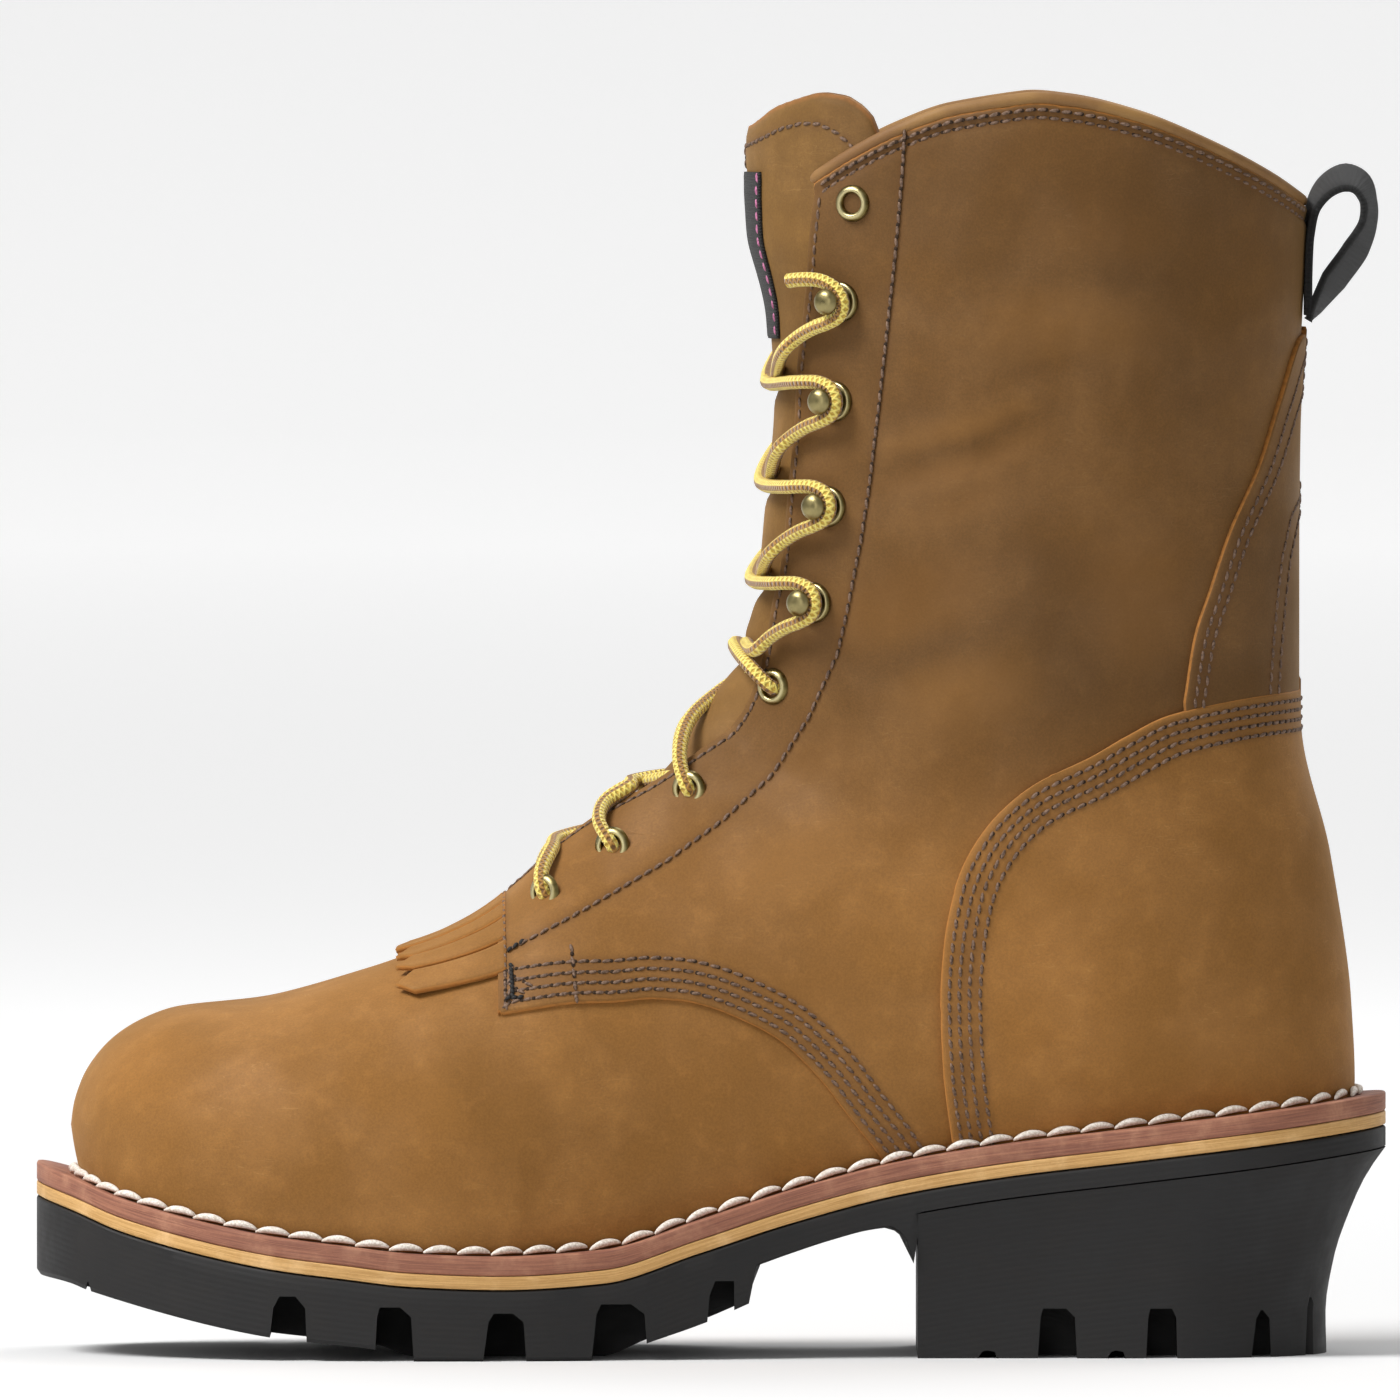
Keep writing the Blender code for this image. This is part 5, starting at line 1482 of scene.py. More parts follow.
# %% Pink stitching inside the label's edge
label_tree = BVHTree.FromObject(label, bpy.context.evaluated_depsgraph_get())
label_lines = []
for side in (-1, 1):
    rows = []
    for share in np.linspace(0.03, 0.97, 60):
        height = LABEL_BOTTOM + (LABEL_TOP - LABEL_BOTTOM) * share
        half = LABEL_HALF * UPPER_WIDTH * (0.8 + 0.2 * share) - 0.0016
        start = Vector((-SOLE_LENGTH, side * half, sole_top(0) + height * SHAFT_HEIGHT))
        hit, normal = label_tree.ray_cast(start, Vector((1, 0, 0)))[:2]
        if hit:
            rows.append((tuple(hit), tuple(normal)))
    label_lines.append((np.array([row[0] for row in rows]), np.array([row[1] for row in rows])))
print("label stitch lines:", [len(line[0]) for line in label_lines])


# %% [markdown]
# **The kiltie** is a fringed flap that shields the laces. It is cut into strips with a pinked end, and
# each strip lifts and twists a little on its own, which is what makes it look like leather.

# %% Kiltie
KILTIE_FRONT, KILTIE_BACK, KILTIE_HALF = -0.231, -0.150, 0.33
KILTIE_TEETH, KILTIE_TOOTH, KILTIE_SLIT = 9, 0.0042, 0.0007


def kiltie_strip(number, lift, twist):
    """A strip's grid on the vamp, as points and normals, from the throat to its pointed end."""
    half = KILTIE_HALF * UPPER_WIDTH
    pitch = 2 * half / KILTIE_TEETH
    low = -half + number * pitch + KILTIE_SLIT / 2
    high = low + pitch - KILTIE_SLIT
    rows = []
    for share in np.linspace(0, 1, 40):
        row = []
        for across in np.linspace(0, 1, 9):
            front = KILTIE_FRONT * SOLE_LENGTH + KILTIE_TOOTH * abs(2 * across - 1)
            x = KILTIE_BACK * SOLE_LENGTH + (front - KILTIE_BACK * SOLE_LENGTH) * share
            row.append((x, low + (high - low) * across))
        rows.append(row)
    flat = np.array(rows)
    steps = np.linspace(3, 9.4, 640)
    found = np.zeros(flat.shape[:2] + (3,))
    normal = np.zeros_like(found)
    for k in range(flat.shape[1]):
        y = flat[0, k, 1]
        side = -1 if y < 0 else 1
        angles = at_width(steps, abs(y), side, 0.001, 0.99)
        points = last_points(steps, angles, side)
        normals = ridge_normals(steps, angles, side)
        order = np.argsort(points[:, 0])
        for c in range(3):
            found[:, k, c] = np.interp(flat[:, k, 0], points[order, 0], points[order, c])
            normal[:, k, c] = np.interp(flat[:, k, 0], points[order, 0], normals[order, c])
        found[:, k, 1] = y
    normal /= np.linalg.norm(normal, axis=-1, keepdims=True)
    along = np.linspace(0, 1, 40)[:, None]
    across = np.linspace(-1, 1, 9)[None, :]
    rise = GAP + lift * along**2 + twist * along**2 * across * 0.5
    rise = np.maximum(rise, 0.0002)
    return found, normal, rise


STRIPS = [
    (0.0010, 0.0003), (0.0012, -0.0004), (0.0009, 0.0004), (0.0013, 0.0002), (0.0009, -0.0003),
    (0.0012, 0.0004), (0.0010, -0.0003), (0.0011, 0.0003), (0.0010, -0.0003),
]
vertices, faces, edges = [], [], []
for number, (lift, twist) in enumerate(STRIPS):
    base, normal, rise = kiltie_strip(number, lift, twist)
    rows, columns = rise.shape
    start = sum(len(v) for v in vertices)
    rounding = np.zeros((rows, columns))
    rounding[[0, -1], :] = 0.0003
    rounding[:, [0, -1]] = 0.0003
    vertices.append((base + normal * (rise + OVERLAY - rounding)[..., None]).reshape(-1, 3))
    vertices.append((base + normal * rise[..., None]).reshape(-1, 3))
    edges += [(rounding > 0).astype(float).ravel(), np.ones(rows * columns)]
    index = np.arange(rows * columns).reshape(rows, columns) + start
    quads, ring, after = grid_faces(index)
    size = rows * columns
    faces.append(quads[:, ::-1])
    faces.append(quads + size)
    faces.append(np.stack([ring, after, after + size, ring + size], axis=-1)[:, ::-1])
all_edges = np.concatenate(edges)
values = {"edge": all_edges, "seam": all_edges * 0, "fold": all_edges * 0}
mesh = mesh_from("kiltie", np.concatenate(vertices), np.concatenate(faces).tolist(), values)
clean_mesh(mesh)
kiltie = new_object("kiltie", mesh, FOOT_LEATHER)
ride(kiltie, "upper_leather", "kiltie")
print("kiltie strips:", len(STRIPS))

# %% [markdown]
# ## The sole
#
# The welt and the midsole are strips of stacked leather, glued to the rubber and ground flush, so
# their cut sides line up and only the colour and a fine groove tell them apart. Each is a loft between
# two heights, with its edges slightly rounded.

# %% Sole layers


def sole_outline(x, inset=0.0):
    """The sole's outer and inner edge at x, drawn in by inset."""
    half_length = SOLE_LENGTH / 2 - inset
    place = np.asarray(x) / SOLE_LENGTH
    outer = np.interp(place, *OUTLINE_CURVES[0]) * SOLE_WIDTH - inset
    inner = np.interp(place, *OUTLINE_CURVES[1]) * SOLE_WIDTH - inset
    toe = np.clip(1 - (x + half_length) / (TOE_ROUND - inset), 0, 1)
    heel = np.clip(1 - (half_length - x) / (HEEL_ROUND - inset), 0, 1)
    share = (1 - toe**2.35) ** (1 / 2.35) * (1 - heel**2.1) ** (1 / 2.1)
    middle = TOE_SHIFT * SOLE_WIDTH * toe**2
    return middle * 0.55 - outer * share, middle + inner * share


def rim_line(inset=0.0, count=520):
    """The sole's edge seen from above, from the back's middle along the outer side and back."""
    half = SOLE_LENGTH / 2 - inset - 0.00002
    turn = np.linspace(0, math.pi, 900)
    x = half * np.cos(turn)
    low, high = sole_outline(x, inset)
    outer = np.stack([x, low], axis=1)
    inner = np.stack([x, high], axis=1)[::-1]
    loop = np.concatenate([outer, inner[1:]])
    return even_line(loop, count + 1)[:-1]


def lofted(rings, levels):
    """Rings of points joined side by side: points, faces, levels and the rings' point numbers."""
    count = len(rings[0])
    index = np.arange(len(rings) * count).reshape(len(rings), count)
    after = np.roll(index, -1, axis=1)
    faces = np.stack([index[:-1], index[1:], after[1:], after[:-1]], axis=-1).reshape(-1, 4).tolist()
    return np.concatenate(rings), faces, np.concatenate(levels), index


def layer(top_drop, bottom_drop, soft=0.0005):
    """A layer of the sole: rings from its top inner line over the rounded side to its underside."""
    profile = [(0.006, 0.0), (soft, 0.0), (soft * 0.3, soft * 0.3), (0.0, soft)]
    height = bottom_drop - top_drop
    middle = [(0.0, soft + (height - 2 * soft) * k / 4) for k in range(1, 5)]
    profile += middle + [(soft * 0.3, height - soft * 0.3), (soft, height), (0.006, height)]
    rings, levels = [], []
    for inset, drop in profile:
        line = rim_line(inset)
        z = sole_top(line[:, 0]) - top_drop - drop
        rings.append(np.column_stack([line, z]))
        levels.append(np.full(len(line), top_drop + drop))
    return lofted(rings, levels)


def close_layer(name, finishes, vertices, faces, levels, index, ends=0):
    """Closes the top and underside with strips across the sole; ends is 1 where a ring has two ends."""
    count = index.shape[1]
    half = count // 2
    for ring in (index[0], index[-1]):
        for k in range(half):
            a, b = ring[k], ring[k + 1]
            c, d = ring[(count - k - 1 - ends) % count], ring[(count - k - ends) % count]
            corners = []
            for corner in (a, b, c, d):
                if corner not in corners:
                    corners.append(int(corner))
            if len(corners) > 2:
                faces.append(corners)
    mesh = mesh_from(name, vertices, faces, {"level": levels})
    clean_mesh(mesh)
    made = new_object(name, mesh, finishes)
    for polygon in made.data.polygons[-2 * half :]:
        polygon.use_smooth = False
    return made


welt = close_layer("welt", WELT_LEATHER, *layer(0.0, WELT))
ride(welt, "welt_leather", "welt")
midsole_top = WELT + GAP
midsole_shape = layer(midsole_top - 0.0002, midsole_top + MIDSOLE, 0.0003)
midsole = close_layer("midsole", MIDSOLE_LEATHER, *midsole_shape)
ride(midsole, "midsole_leather", "midsole")
print("welt faces:", len(welt.data.polygons))

# %% [markdown]
# **The rubber** is moulded in one piece with its lugs. The gaps between the lugs are cut from the
# side, and the middle of the sole stays whole, so no light shows through. The heel draws in towards
# the floor at the back and a little at its sides.

# %% Outsole and heel


def boolean_cut(target, tools, operation="DIFFERENCE"):
    for tool in tools:
        modifier = target.modifiers.new(tool.name, "BOOLEAN")
        modifier.operation = operation
        modifier.solver = "EXACT"
        modifier.object = tool
    plain_mesh(target)
    for tool in tools:
        data = tool.data
        bpy.data.objects.remove(tool)
        bpy.data.meshes.remove(data)
    return target


def side_prism(name, outline, low, high):
    """A closed outline of the side view pushed from one width to another."""
    count = len(outline)
    vertices = [(x, low, z) for x, z in outline] + [(x, high, z) for x, z in outline]
    faces = [tuple(range(count)), tuple(range(2 * count - 1, count - 1, -1))]
    faces += [(k, k + count, (k + 1) % count + count, (k + 1) % count) for k in range(count)]
    bm = bmesh.new()
    made = [bm.verts.new(v) for v in vertices]
    for face in faces:
        bm.faces.new([made[k] for k in face])
    bmesh.ops.recalc_face_normals(bm, faces=bm.faces)
    mesh = bpy.data.meshes.new(name)
    bm.to_mesh(mesh)
    bm.free()
    tool = bpy.data.objects.new(name, mesh)
    bpy.context.scene.collection.objects.link(tool)
    return tool


BELOW_FLOOR = -0.01


def gap_outline(front, back, top_front, top_back, height):
    """A lug gap as an arch: one steep side, one slanted side, and cut corners near its top."""
    height = height * HEEL_HEIGHT
    front, back, top_front, top_back = [v * SOLE_LENGTH for v in (front, back, top_front, top_back)]
    return [
        (front, BELOW_FLOOR),
        (back, BELOW_FLOOR),
        (back, 0.0),
        (back * 0.8 + top_back * 0.2, 0.82 * height),
        (top_back, height),
        (top_front, height),
        (front * 0.5 + top_front * 0.5, 0.82 * height),
        (front, 0.0),
    ]


def cut_gaps(target, gaps, depth_share):
    """Cuts each gap in from both sides, leaving the sole's middle whole."""
    tools = []
    for number, row in enumerate(gaps):
        outline = gap_outline(*row)
        x = (row[0] + row[1]) / 2 * SOLE_LENGTH
        low, high = [float(v) for v in sole_outline(x)]
        reach = depth_share * (high - low)
        tools.append(side_prism(f"gap_{number}_outer", outline, -SOLE_WIDTH, low + reach))
        tools.append(side_prism(f"gap_{number}_inner", outline, high - reach, SOLE_WIDTH))
    return boolean_cut(target, tools)


base_top = WELT + GAP + MIDSOLE + GAP


def under(x):
    """The outsole's underside: tread, arch, then the flat layer over the heel."""
    place = x / SOLE_LENGTH
    if place <= TREAD[-1][0]:
        return smooth(TREAD, place) * HEEL_HEIGHT
    if place <= ARCH[-1][0]:
        return smooth(ARCH, place) * HEEL_HEIGHT
    return float(sole_top(x)) - base_top - BASE


def outsole_mesh():
    line = rim_line(0.0, 420)
    insets = [(0.006, 0.0), (0.0006, 0.0), (0.0002, 0.0002), (0.0, 0.0006)]
    rings, levels = [], []
    for inset, drop in insets:
        ring = rim_line(inset, 420)
        rings.append(np.column_stack([ring, sole_top(ring[:, 0]) - base_top - drop]))
        levels.append(np.full(len(ring), base_top + drop))
    low = np.array([under(x) for x in line[:, 0]])
    top = sole_top(line[:, 0]) - base_top
    for share in (0.25, 0.5, 0.75, 0.94):
        rings.append(np.column_stack([line, top + (low - top) * share]))
        levels.append(base_top + (top - low) * share)
    for inset, rise in ((0.0008, 0.0), (0.006, 0.0)):
        ring = rim_line(inset, 420)
        low = np.array([under(x) for x in ring[:, 0]])
        rings.append(np.column_stack([ring, low + rise]))
        levels.append(base_top + sole_top(ring[:, 0]) - base_top - low)
    return lofted(rings, levels)


outsole = close_layer("outsole", RUBBER, *outsole_mesh())
cut_gaps(outsole, TREAD_GAPS, 0.28)
ride(outsole, "sole_rubber", "outsole")


def heel_mesh():
    """The heel block as rings from its top to the floor, drawn in at the back and the sides."""
    breast = HEEL_BREAST * SOLE_LENGTH
    half = SOLE_LENGTH / 2 - 0.00002
    shares = np.linspace(0, 1, 15)
    draws = np.array([(smooth(HEEL_DRAW, s, 1), smooth(HEEL_DRAW, s, 2)) for s in shares])
    back = breast + (half - breast) * np.sin(np.linspace(0, math.pi / 2, 90))
    rings, levels = [], []
    for share, (back_draw, side_draw) in zip(shares, draws):
        low, high = sole_outline(back)
        x = breast + (back - breast) * (1 - back_draw)
        top = sole_top(x) - base_top - BASE - GAP / 3
        z = top * (1 - share)
        outer = np.column_stack([x, low * (1 - side_draw), z])
        inner = np.column_stack([x, high * (1 - side_draw), z])[::-1]
        ring = np.concatenate([outer, inner[1:]])
        rings.append(ring)
        levels.append(sole_top(ring[:, 0]) - ring[:, 2])
    return lofted(rings, levels)


heel = close_layer("heel", RUBBER, *heel_mesh(), ends=1)
cut_gaps(heel, HEEL_GAPS, 0.26)
ride(heel, "sole_rubber", "heel_block")
for piece in (outsole, heel):
    piece.data.shade_smooth()
    piece.data.set_sharp_from_angle(angle=math.radians(28))
print("outsole faces:", len(outsole.data.polygons), "heel faces:", len(heel.data.polygons))

# %% [markdown]
# ## What repeats: stitches, eyelets and hooks
#
# Hundreds of stitches aren't placed one by one. A Geometry Nodes tree takes a line that lies on the
# leather, steps along it by the stitch length, and sets one small piece at each step, turned along the
# line and tilted with the surface. The same tree without the steps sets the brass pieces.


# %% A tree that sets a piece along lines
def setting_tree(name, along_lines):
    """Sets an object at the points of a mesh, or at even steps along its lines, on the surface."""
    tree = bpy.data.node_groups.new(name, "GeometryNodeTree")
    face = tree.interface
    face.new_socket("Geometry", in_out="INPUT", socket_type="NodeSocketGeometry")
    for label, kind in (
        ("Piece", "NodeSocketObject"),
        ("Finish", "NodeSocketMaterial"),
        ("Pitch", "NodeSocketFloat"),
        ("Start", "NodeSocketFloat"),
        ("Lean", "NodeSocketFloat"),
    ):
        face.new_socket(label, in_out="INPUT", socket_type=kind)
    face.new_socket("Geometry", in_out="OUTPUT", socket_type="NodeSocketGeometry")
    inputs = add(tree, "NodeGroupInput").outputs
    places = inputs["Geometry"]
    if along_lines:
        curve = add(tree, "GeometryNodeMeshToCurve", {"Mesh": places}).outputs[0]
        trimmed = add(tree, "GeometryNodeTrimCurve", {"Curve": curve}, mode="LENGTH")
        tree.links.new(inputs["Start"], trimmed.inputs[4])
        trimmed.inputs[5].default_value = 100.0
        spaced = add(
            tree, "GeometryNodeResampleCurve", {"Curve": trimmed.outputs[0], "Length": inputs["Pitch"]},
            mode="LENGTH",
        )
        places = spaced.outputs[0]
        heading = add(tree, "GeometryNodeInputTangent").outputs[0]
    else:
        heading = add(
            tree, "GeometryNodeInputNamedAttribute", {"Name": "heading"}, data_type="FLOAT_VECTOR",
        ).outputs[0]
    lean = add(tree, "GeometryNodeInputNamedAttribute", {"Name": "lean"}, data_type="FLOAT_VECTOR").outputs[0]
    turned = add(tree, "FunctionNodeAlignRotationToVector", {"Vector": heading}, axis="X").outputs[0]
    tilted = add(
        tree, "FunctionNodeAlignRotationToVector", {"Rotation": turned, "Vector": lean}, axis="Z",
        pivot_axis="X",
    )
    chance = add(tree, "FunctionNodeRandomValue", {"Seed": 7}, data_type="FLOAT")
    swing = add(tree, "ShaderNodeMath", {0: chance.outputs[1], 1: inputs["Lean"]}, operation="MULTIPLY_ADD")
    swing.inputs[2].default_value = 0.0
    centred = calc(tree, swing.outputs[0], calc(tree, inputs["Lean"], 0.35), "SUBTRACT")
    spin = add(tree, "ShaderNodeCombineXYZ", {2: centred}).outputs[0]
    spun = add(
        tree, "FunctionNodeRotateRotation", {0: tilted.outputs[0], 1: spin}, rotation_space="LOCAL",
    ).outputs[0]
    piece = add(tree, "GeometryNodeObjectInfo", {"Object": inputs["Piece"]}).outputs["Geometry"]
    placed_pieces = add(
        tree, "GeometryNodeInstanceOnPoints", {"Points": places, "Instance": piece, "Rotation": spun},
    ).outputs[0]
    real = add(tree, "GeometryNodeRealizeInstances", {"Geometry": placed_pieces}).outputs[0]
    finished = add(
        tree, "GeometryNodeSetMaterial", {"Geometry": real, "Material": inputs["Finish"]},
    ).outputs[0]
    tree.links.new(finished, add(tree, "NodeGroupOutput").inputs[0])
    return tree


LINE_TREE = setting_tree("set along lines", True)
POINT_TREE = setting_tree("set at points", False)


def lines_mesh(name, lines):
    """Lines of (points, normals) as one mesh of edges, each point with its surface normal."""
    vertices, edges, lean = [], [], []
    for points, normals in lines:
        start = len(vertices)
        vertices += [tuple(p) for p in points]
        edges += [(start + k, start + k + 1) for k in range(len(points) - 1)]
        lean += [tuple(n) for n in normals]
    mesh = bpy.data.meshes.new(name)
    mesh.from_pydata(vertices, edges, [])
    mesh.attributes.new("lean", "FLOAT_VECTOR", "POINT").data.foreach_set(
        "vector", np.array(lean, np.float32).ravel(),
    )
    return mesh


def set_pieces(name, mesh, tree, piece, finish, pitch=1.0, start=0.0, lean=0.0):
    """Runs the tree once and keeps its result as a plain mesh."""
    made = bpy.data.objects.new(name, mesh)
    bpy.context.scene.collection.objects.link(made)
    modifier = made.modifiers.new(name, "NODES")
    modifier.node_group = tree
    values = {"Piece": piece, "Finish": finish, "Pitch": pitch, "Start": start, "Lean": lean}
    for item in tree.interface.items_tree:
        if item.item_type == "SOCKET" and item.in_out == "INPUT" and item.name in values:
            modifier[item.identifier] = values[item.name]
    plain_mesh(made)
    made.data.shade_smooth()
    print(name, "faces:", len(made.data.polygons))
    return made


def hidden_piece(name, mesh):
    """A pattern piece that only the trees use; it is removed once they have run."""
    made = bpy.data.objects.new(name, mesh)
    bpy.context.scene.collection.objects.link(made)
    made.location = (0, 0, 0)
    return made


def thread_piece(name, length, radius, flat=0.8, rings=7, sides=8, power=0.45, arch=0.0, slant=0.0):
    """A stitch: a short plump run of thread along X whose ends dive into the leather."""
    vertices, faces = [], []
    for k in range(rings):
        t = k / (rings - 1)
        size = radius * max(math.sin(math.pi * (0.03 + 0.94 * t)), 0.05) ** power
        x = (t - 0.5) * length
        z = arch * math.sin(math.pi * t) - radius * 0.35 * (2 * abs(t - 0.5)) ** 3
        for j in range(sides):
            a = 2 * math.pi * j / sides
            vertices.append((x, size * math.cos(a) + slant * (t - 0.5), z + size * flat * math.sin(a)))
    for k in range(rings - 1):
        for j in range(sides):
            n = (j + 1) % sides
            faces.append((k * sides + j, k * sides + n, (k + 1) * sides + n, (k + 1) * sides + j))
    faces.append(tuple(range(sides))[::-1])
    faces.append(tuple(range((rings - 1) * sides, rings * sides)))
    mesh = bpy.data.meshes.new(name)
    mesh.from_pydata(vertices, [], faces)
    clean_mesh(mesh)
    return hidden_piece(name, mesh)


# %% Stitch lines on the leather
def on_leather(line, side, lift, extra=None):
    """Side-view points as points on a panel, with its normals."""
    step, angle = locate(line[:, 0], line[:, 1])
    base = last_points(step, angle, side)
    normal = ridge_normals(step, angle, side)
    push = relief(base, side)
    if extra is not None:
        push = push + extra(base, None, side)
    return base + normal * (lift + push)[..., None], normal


def above_welt(line, rise=0.0008):
    return line[line[:, 1] > sole_top(line[:, 0]) + rise]


STITCH_PITCH = 0.0028
THREAD_LIFT = 0.0001
BOX_SEAM = [(-32.6, 95.2), (-31.6, 83.8)]
BAR_TACKS = [[(-46.4, 91.0), (-46.2, 84.2)], [(-47.2, 83.6), (-44.4, 83.9)], [(-46.6, 94.6), (-43.8, 96.4)]]
upper_lines = []
for side in (-1, 1):
    for row in quarter_rows:
        keep = above_welt(row[row[:, 0] > -0.0478])
        upper_lines.append(on_leather(keep, side, QUARTER_STEP + THREAD_LIFT))
    for row in counter_rows:
        keep = above_welt(row)
        keep = keep[keep[:, 0] < 0.1372]
        upper_lines.append(on_leather(keep, side, COUNTER_LIFT + THREAD_LIFT))
    for row in backstay_rows:
        keep = row[(row[:, 0] < 0.1385) & (row[:, 1] > 0.1525)]
        upper_lines.append(on_leather(keep, side, BACKSTAY_LIFT + THREAD_LIFT))
    for row in reinforcement_rows:
        upper_lines.append(on_leather(row[row[:, 0] < 0.1372], side, BACKSTAY_LIFT + THREAD_LIFT))
    for row in collar_rows:
        upper_lines.append(on_leather(row[4:-2], side, QUARTER_STEP + THREAD_LIFT, quarter_push))
    upper_lines.append(on_leather(eyestay, side, QUARTER_STEP + THREAD_LIFT))
    upper_lines.append(on_leather(front_row, side, QUARTER_STEP + THREAD_LIFT))
    upper_lines.append(on_leather(metres(BOX_SEAM), side, QUARTER_STEP + 0.0002))
    edge = throat_edge(side)
    edge = edge[(edge[:, 0] > 8.25) & (edge[:, 0] < 22.5)]
    line = last_points(edge[:, 0], edge[:, 1], side)
    inward = np.gradient(line, axis=0)
    inward /= np.linalg.norm(inward, axis=1, keepdims=True)
    normal = ridge_normals(edge[:, 0], edge[:, 1], side)
    across = np.cross(inward, normal) * side
    shifted = line + across * np.sign(np.mean(across[:, 0]) or 1) * 0.0021
    step, angle = locate(shifted[:, 0], shifted[:, 2])
    base = last_points(step, angle, side)
    normal = ridge_normals(step, angle, side)
    throat_row = base + normal * (QUARTER_STEP + THREAD_LIFT + relief(base, side))[..., None]
    upper_lines.append((throat_row, normal))
tongue_lines = [
    on_leather(
        row, side, TONGUE_OUTSIDE + THREAD_LIFT, tongue_push,
    ) for row in tongue_rows for side in (-1, 1)
]
upper_stitch = thread_piece("upper_stitch", 0.0023, 0.00042, 0.75, slant=0.00028)
# Painted shade: a flat dark mark stands for the shadow inside each needle hole
hole_shade_piece = thread_piece("needle_mark", 0.0012, 0.00046, 0.25, rings=5)
stitch_mesh = lines_mesh("upper_stitches", upper_lines + tongue_lines)
stitches = set_pieces(
    "upper_stitches", stitch_mesh.copy(), LINE_TREE, upper_stitch, UPPER_THREAD, STITCH_PITCH, 0.0, 0.16,
)
ride(stitches, "upper_leather")
hole_shades = set_pieces(
    "needle_marks", stitch_mesh, LINE_TREE, hole_shade_piece, HOLE_SHADE, STITCH_PITCH, STITCH_PITCH / 2, 0.0,
)
ride(hole_shades, "upper_leather")

tack_lines = [on_leather(metres(line), side, QUARTER_STEP + 0.0003) for line in BAR_TACKS for side in (-1, 1)]
tack = thread_piece("tack", 0.0016, 0.00052, 0.8, slant=0.0004)
tacks = set_pieces(
    "bar_tacks", lines_mesh("bar_tacks", tack_lines), LINE_TREE, tack, BLACK_THREAD, 0.0011, 0.0, 0.2,
)
ride(tacks, "upper_leather")

# %% [markdown]
# **The welt seam** is a lockstitch in thick waxed thread, eight millimetres a stitch. It lies in the
# crease between the upper and the welt, all the way round the shoe.

# %% Welt stitches
WELT_PITCH = 0.0079
feather = {}
for side in (-1, 1):
    steps = np.concatenate([np.linspace(1.75, 5, 90), np.linspace(5.05, 14.95, 300)])
    angles = welt_angle(steps, side)
    good = angles < math.pi - 1e-6
    feather[side] = last_points(steps[good], angles[good], side)
loop = np.concatenate([feather[-1][::-1], feather[1]])
turn = np.unwrap(np.arctan2(loop[:, 1] - 0.0, loop[:, 0] + 0.0))
order = np.argsort(turn)
closed = loop[order][:, :2]
closed = even_line(np.concatenate([closed, closed[:1]]), 700)[:-1]
kernel = np.ones(25) / 25
padded = np.concatenate([closed[-12:], closed, closed[:12]])
closed = np.stack([np.convolve(padded[:, k], kernel, mode="valid") for k in range(2)], axis=1)
way = np.roll(closed, -1, axis=0) - np.roll(closed, 1, axis=0)
way /= np.linalg.norm(way, axis=1, keepdims=True)
outward = np.stack([way[:, 1], -way[:, 0]], axis=1)
if np.mean(np.sum(outward * (closed - closed.mean(axis=0)), axis=1)) < 0:
    outward = -outward
# The seam moves out with the leather beside it: vamp, then quarter, then counter
REACH_PLACES = [0.030, 0.042, 0.052, 0.062]
REACH = [0.0, QUARTER_STEP, QUARTER_STEP, COUNTER_LIFT]
panel_reach = np.interp(closed[:, 0], REACH_PLACES, REACH)
seam = closed + outward * (0.0019 + panel_reach)[:, None]
seam_points = np.column_stack([seam, sole_top(seam[:, 0]) + 0.0010])
seam_points = np.concatenate([seam_points, seam_points[:1]])
seam_normals = np.column_stack([outward * 0.35, np.full(len(outward), 0.94)])
seam_normals = np.concatenate([seam_normals, seam_normals[:1]])
welt_stitch = thread_piece(
    "welt_stitch", 0.0079, 0.00092, 0.95, rings=13, sides=12, power=0.5, arch=0.0005, slant=0.0011,
)
seam_piece = set_pieces(
    "welt_stitches", lines_mesh("welt_stitches", [(seam_points, seam_normals)]), LINE_TREE, welt_stitch,
    WELT_THREAD, WELT_PITCH, 0.002, 0.12,
)
ride(seam_piece, "welt_leather")

# %% [markdown]
# The label's thread is set like the rest, with the same small stitch along the two rows that the rays
# found. Only the colour and the pitch differ.

# %% Label stitches
label_pieces = set_pieces(
    "label_stitches", lines_mesh("label_stitches", label_lines), LINE_TREE, upper_stitch, PINK_THREAD, 0.0029,
    0.001, 0.10,
)
ride(label_pieces, "black_webbing")

# %% [markdown]
# **Eyelets and hooks** are pressed from brass sheet. An eyelet is a rolled ring whose barrel goes
# through the leather. A speed hook is a domed cap on a short neck, riveted through a dished washer.
# Both are turned shapes, so a profile is spun with a Screw modifier.


# %% Brass pieces
def spun(name, profile, steps=48):
    """A profile of (radius, height, wear) rows spun about Z, with its wear as an attribute."""
    mesh = bpy.data.meshes.new(name)
    mesh.from_pydata([(r, 0, z) for r, z, _ in profile], [(k, k + 1) for k in range(len(profile) - 1)], [])
    mesh.attributes.new("wear", "FLOAT", "POINT").data.foreach_set(
        "value", np.array([w for *_, w in profile], np.float32)
    )
    made = hidden_piece(name, mesh)
    screw = made.modifiers.new("spin", "SCREW")
    screw.axis = "Z"
    screw.steps = steps
    screw.render_steps = steps
    screw.use_merge_vertices = True
    screw.merge_threshold = 0.000001
    plain_mesh(made)
    clean_mesh(made.data, merge=0.000001)
    return made


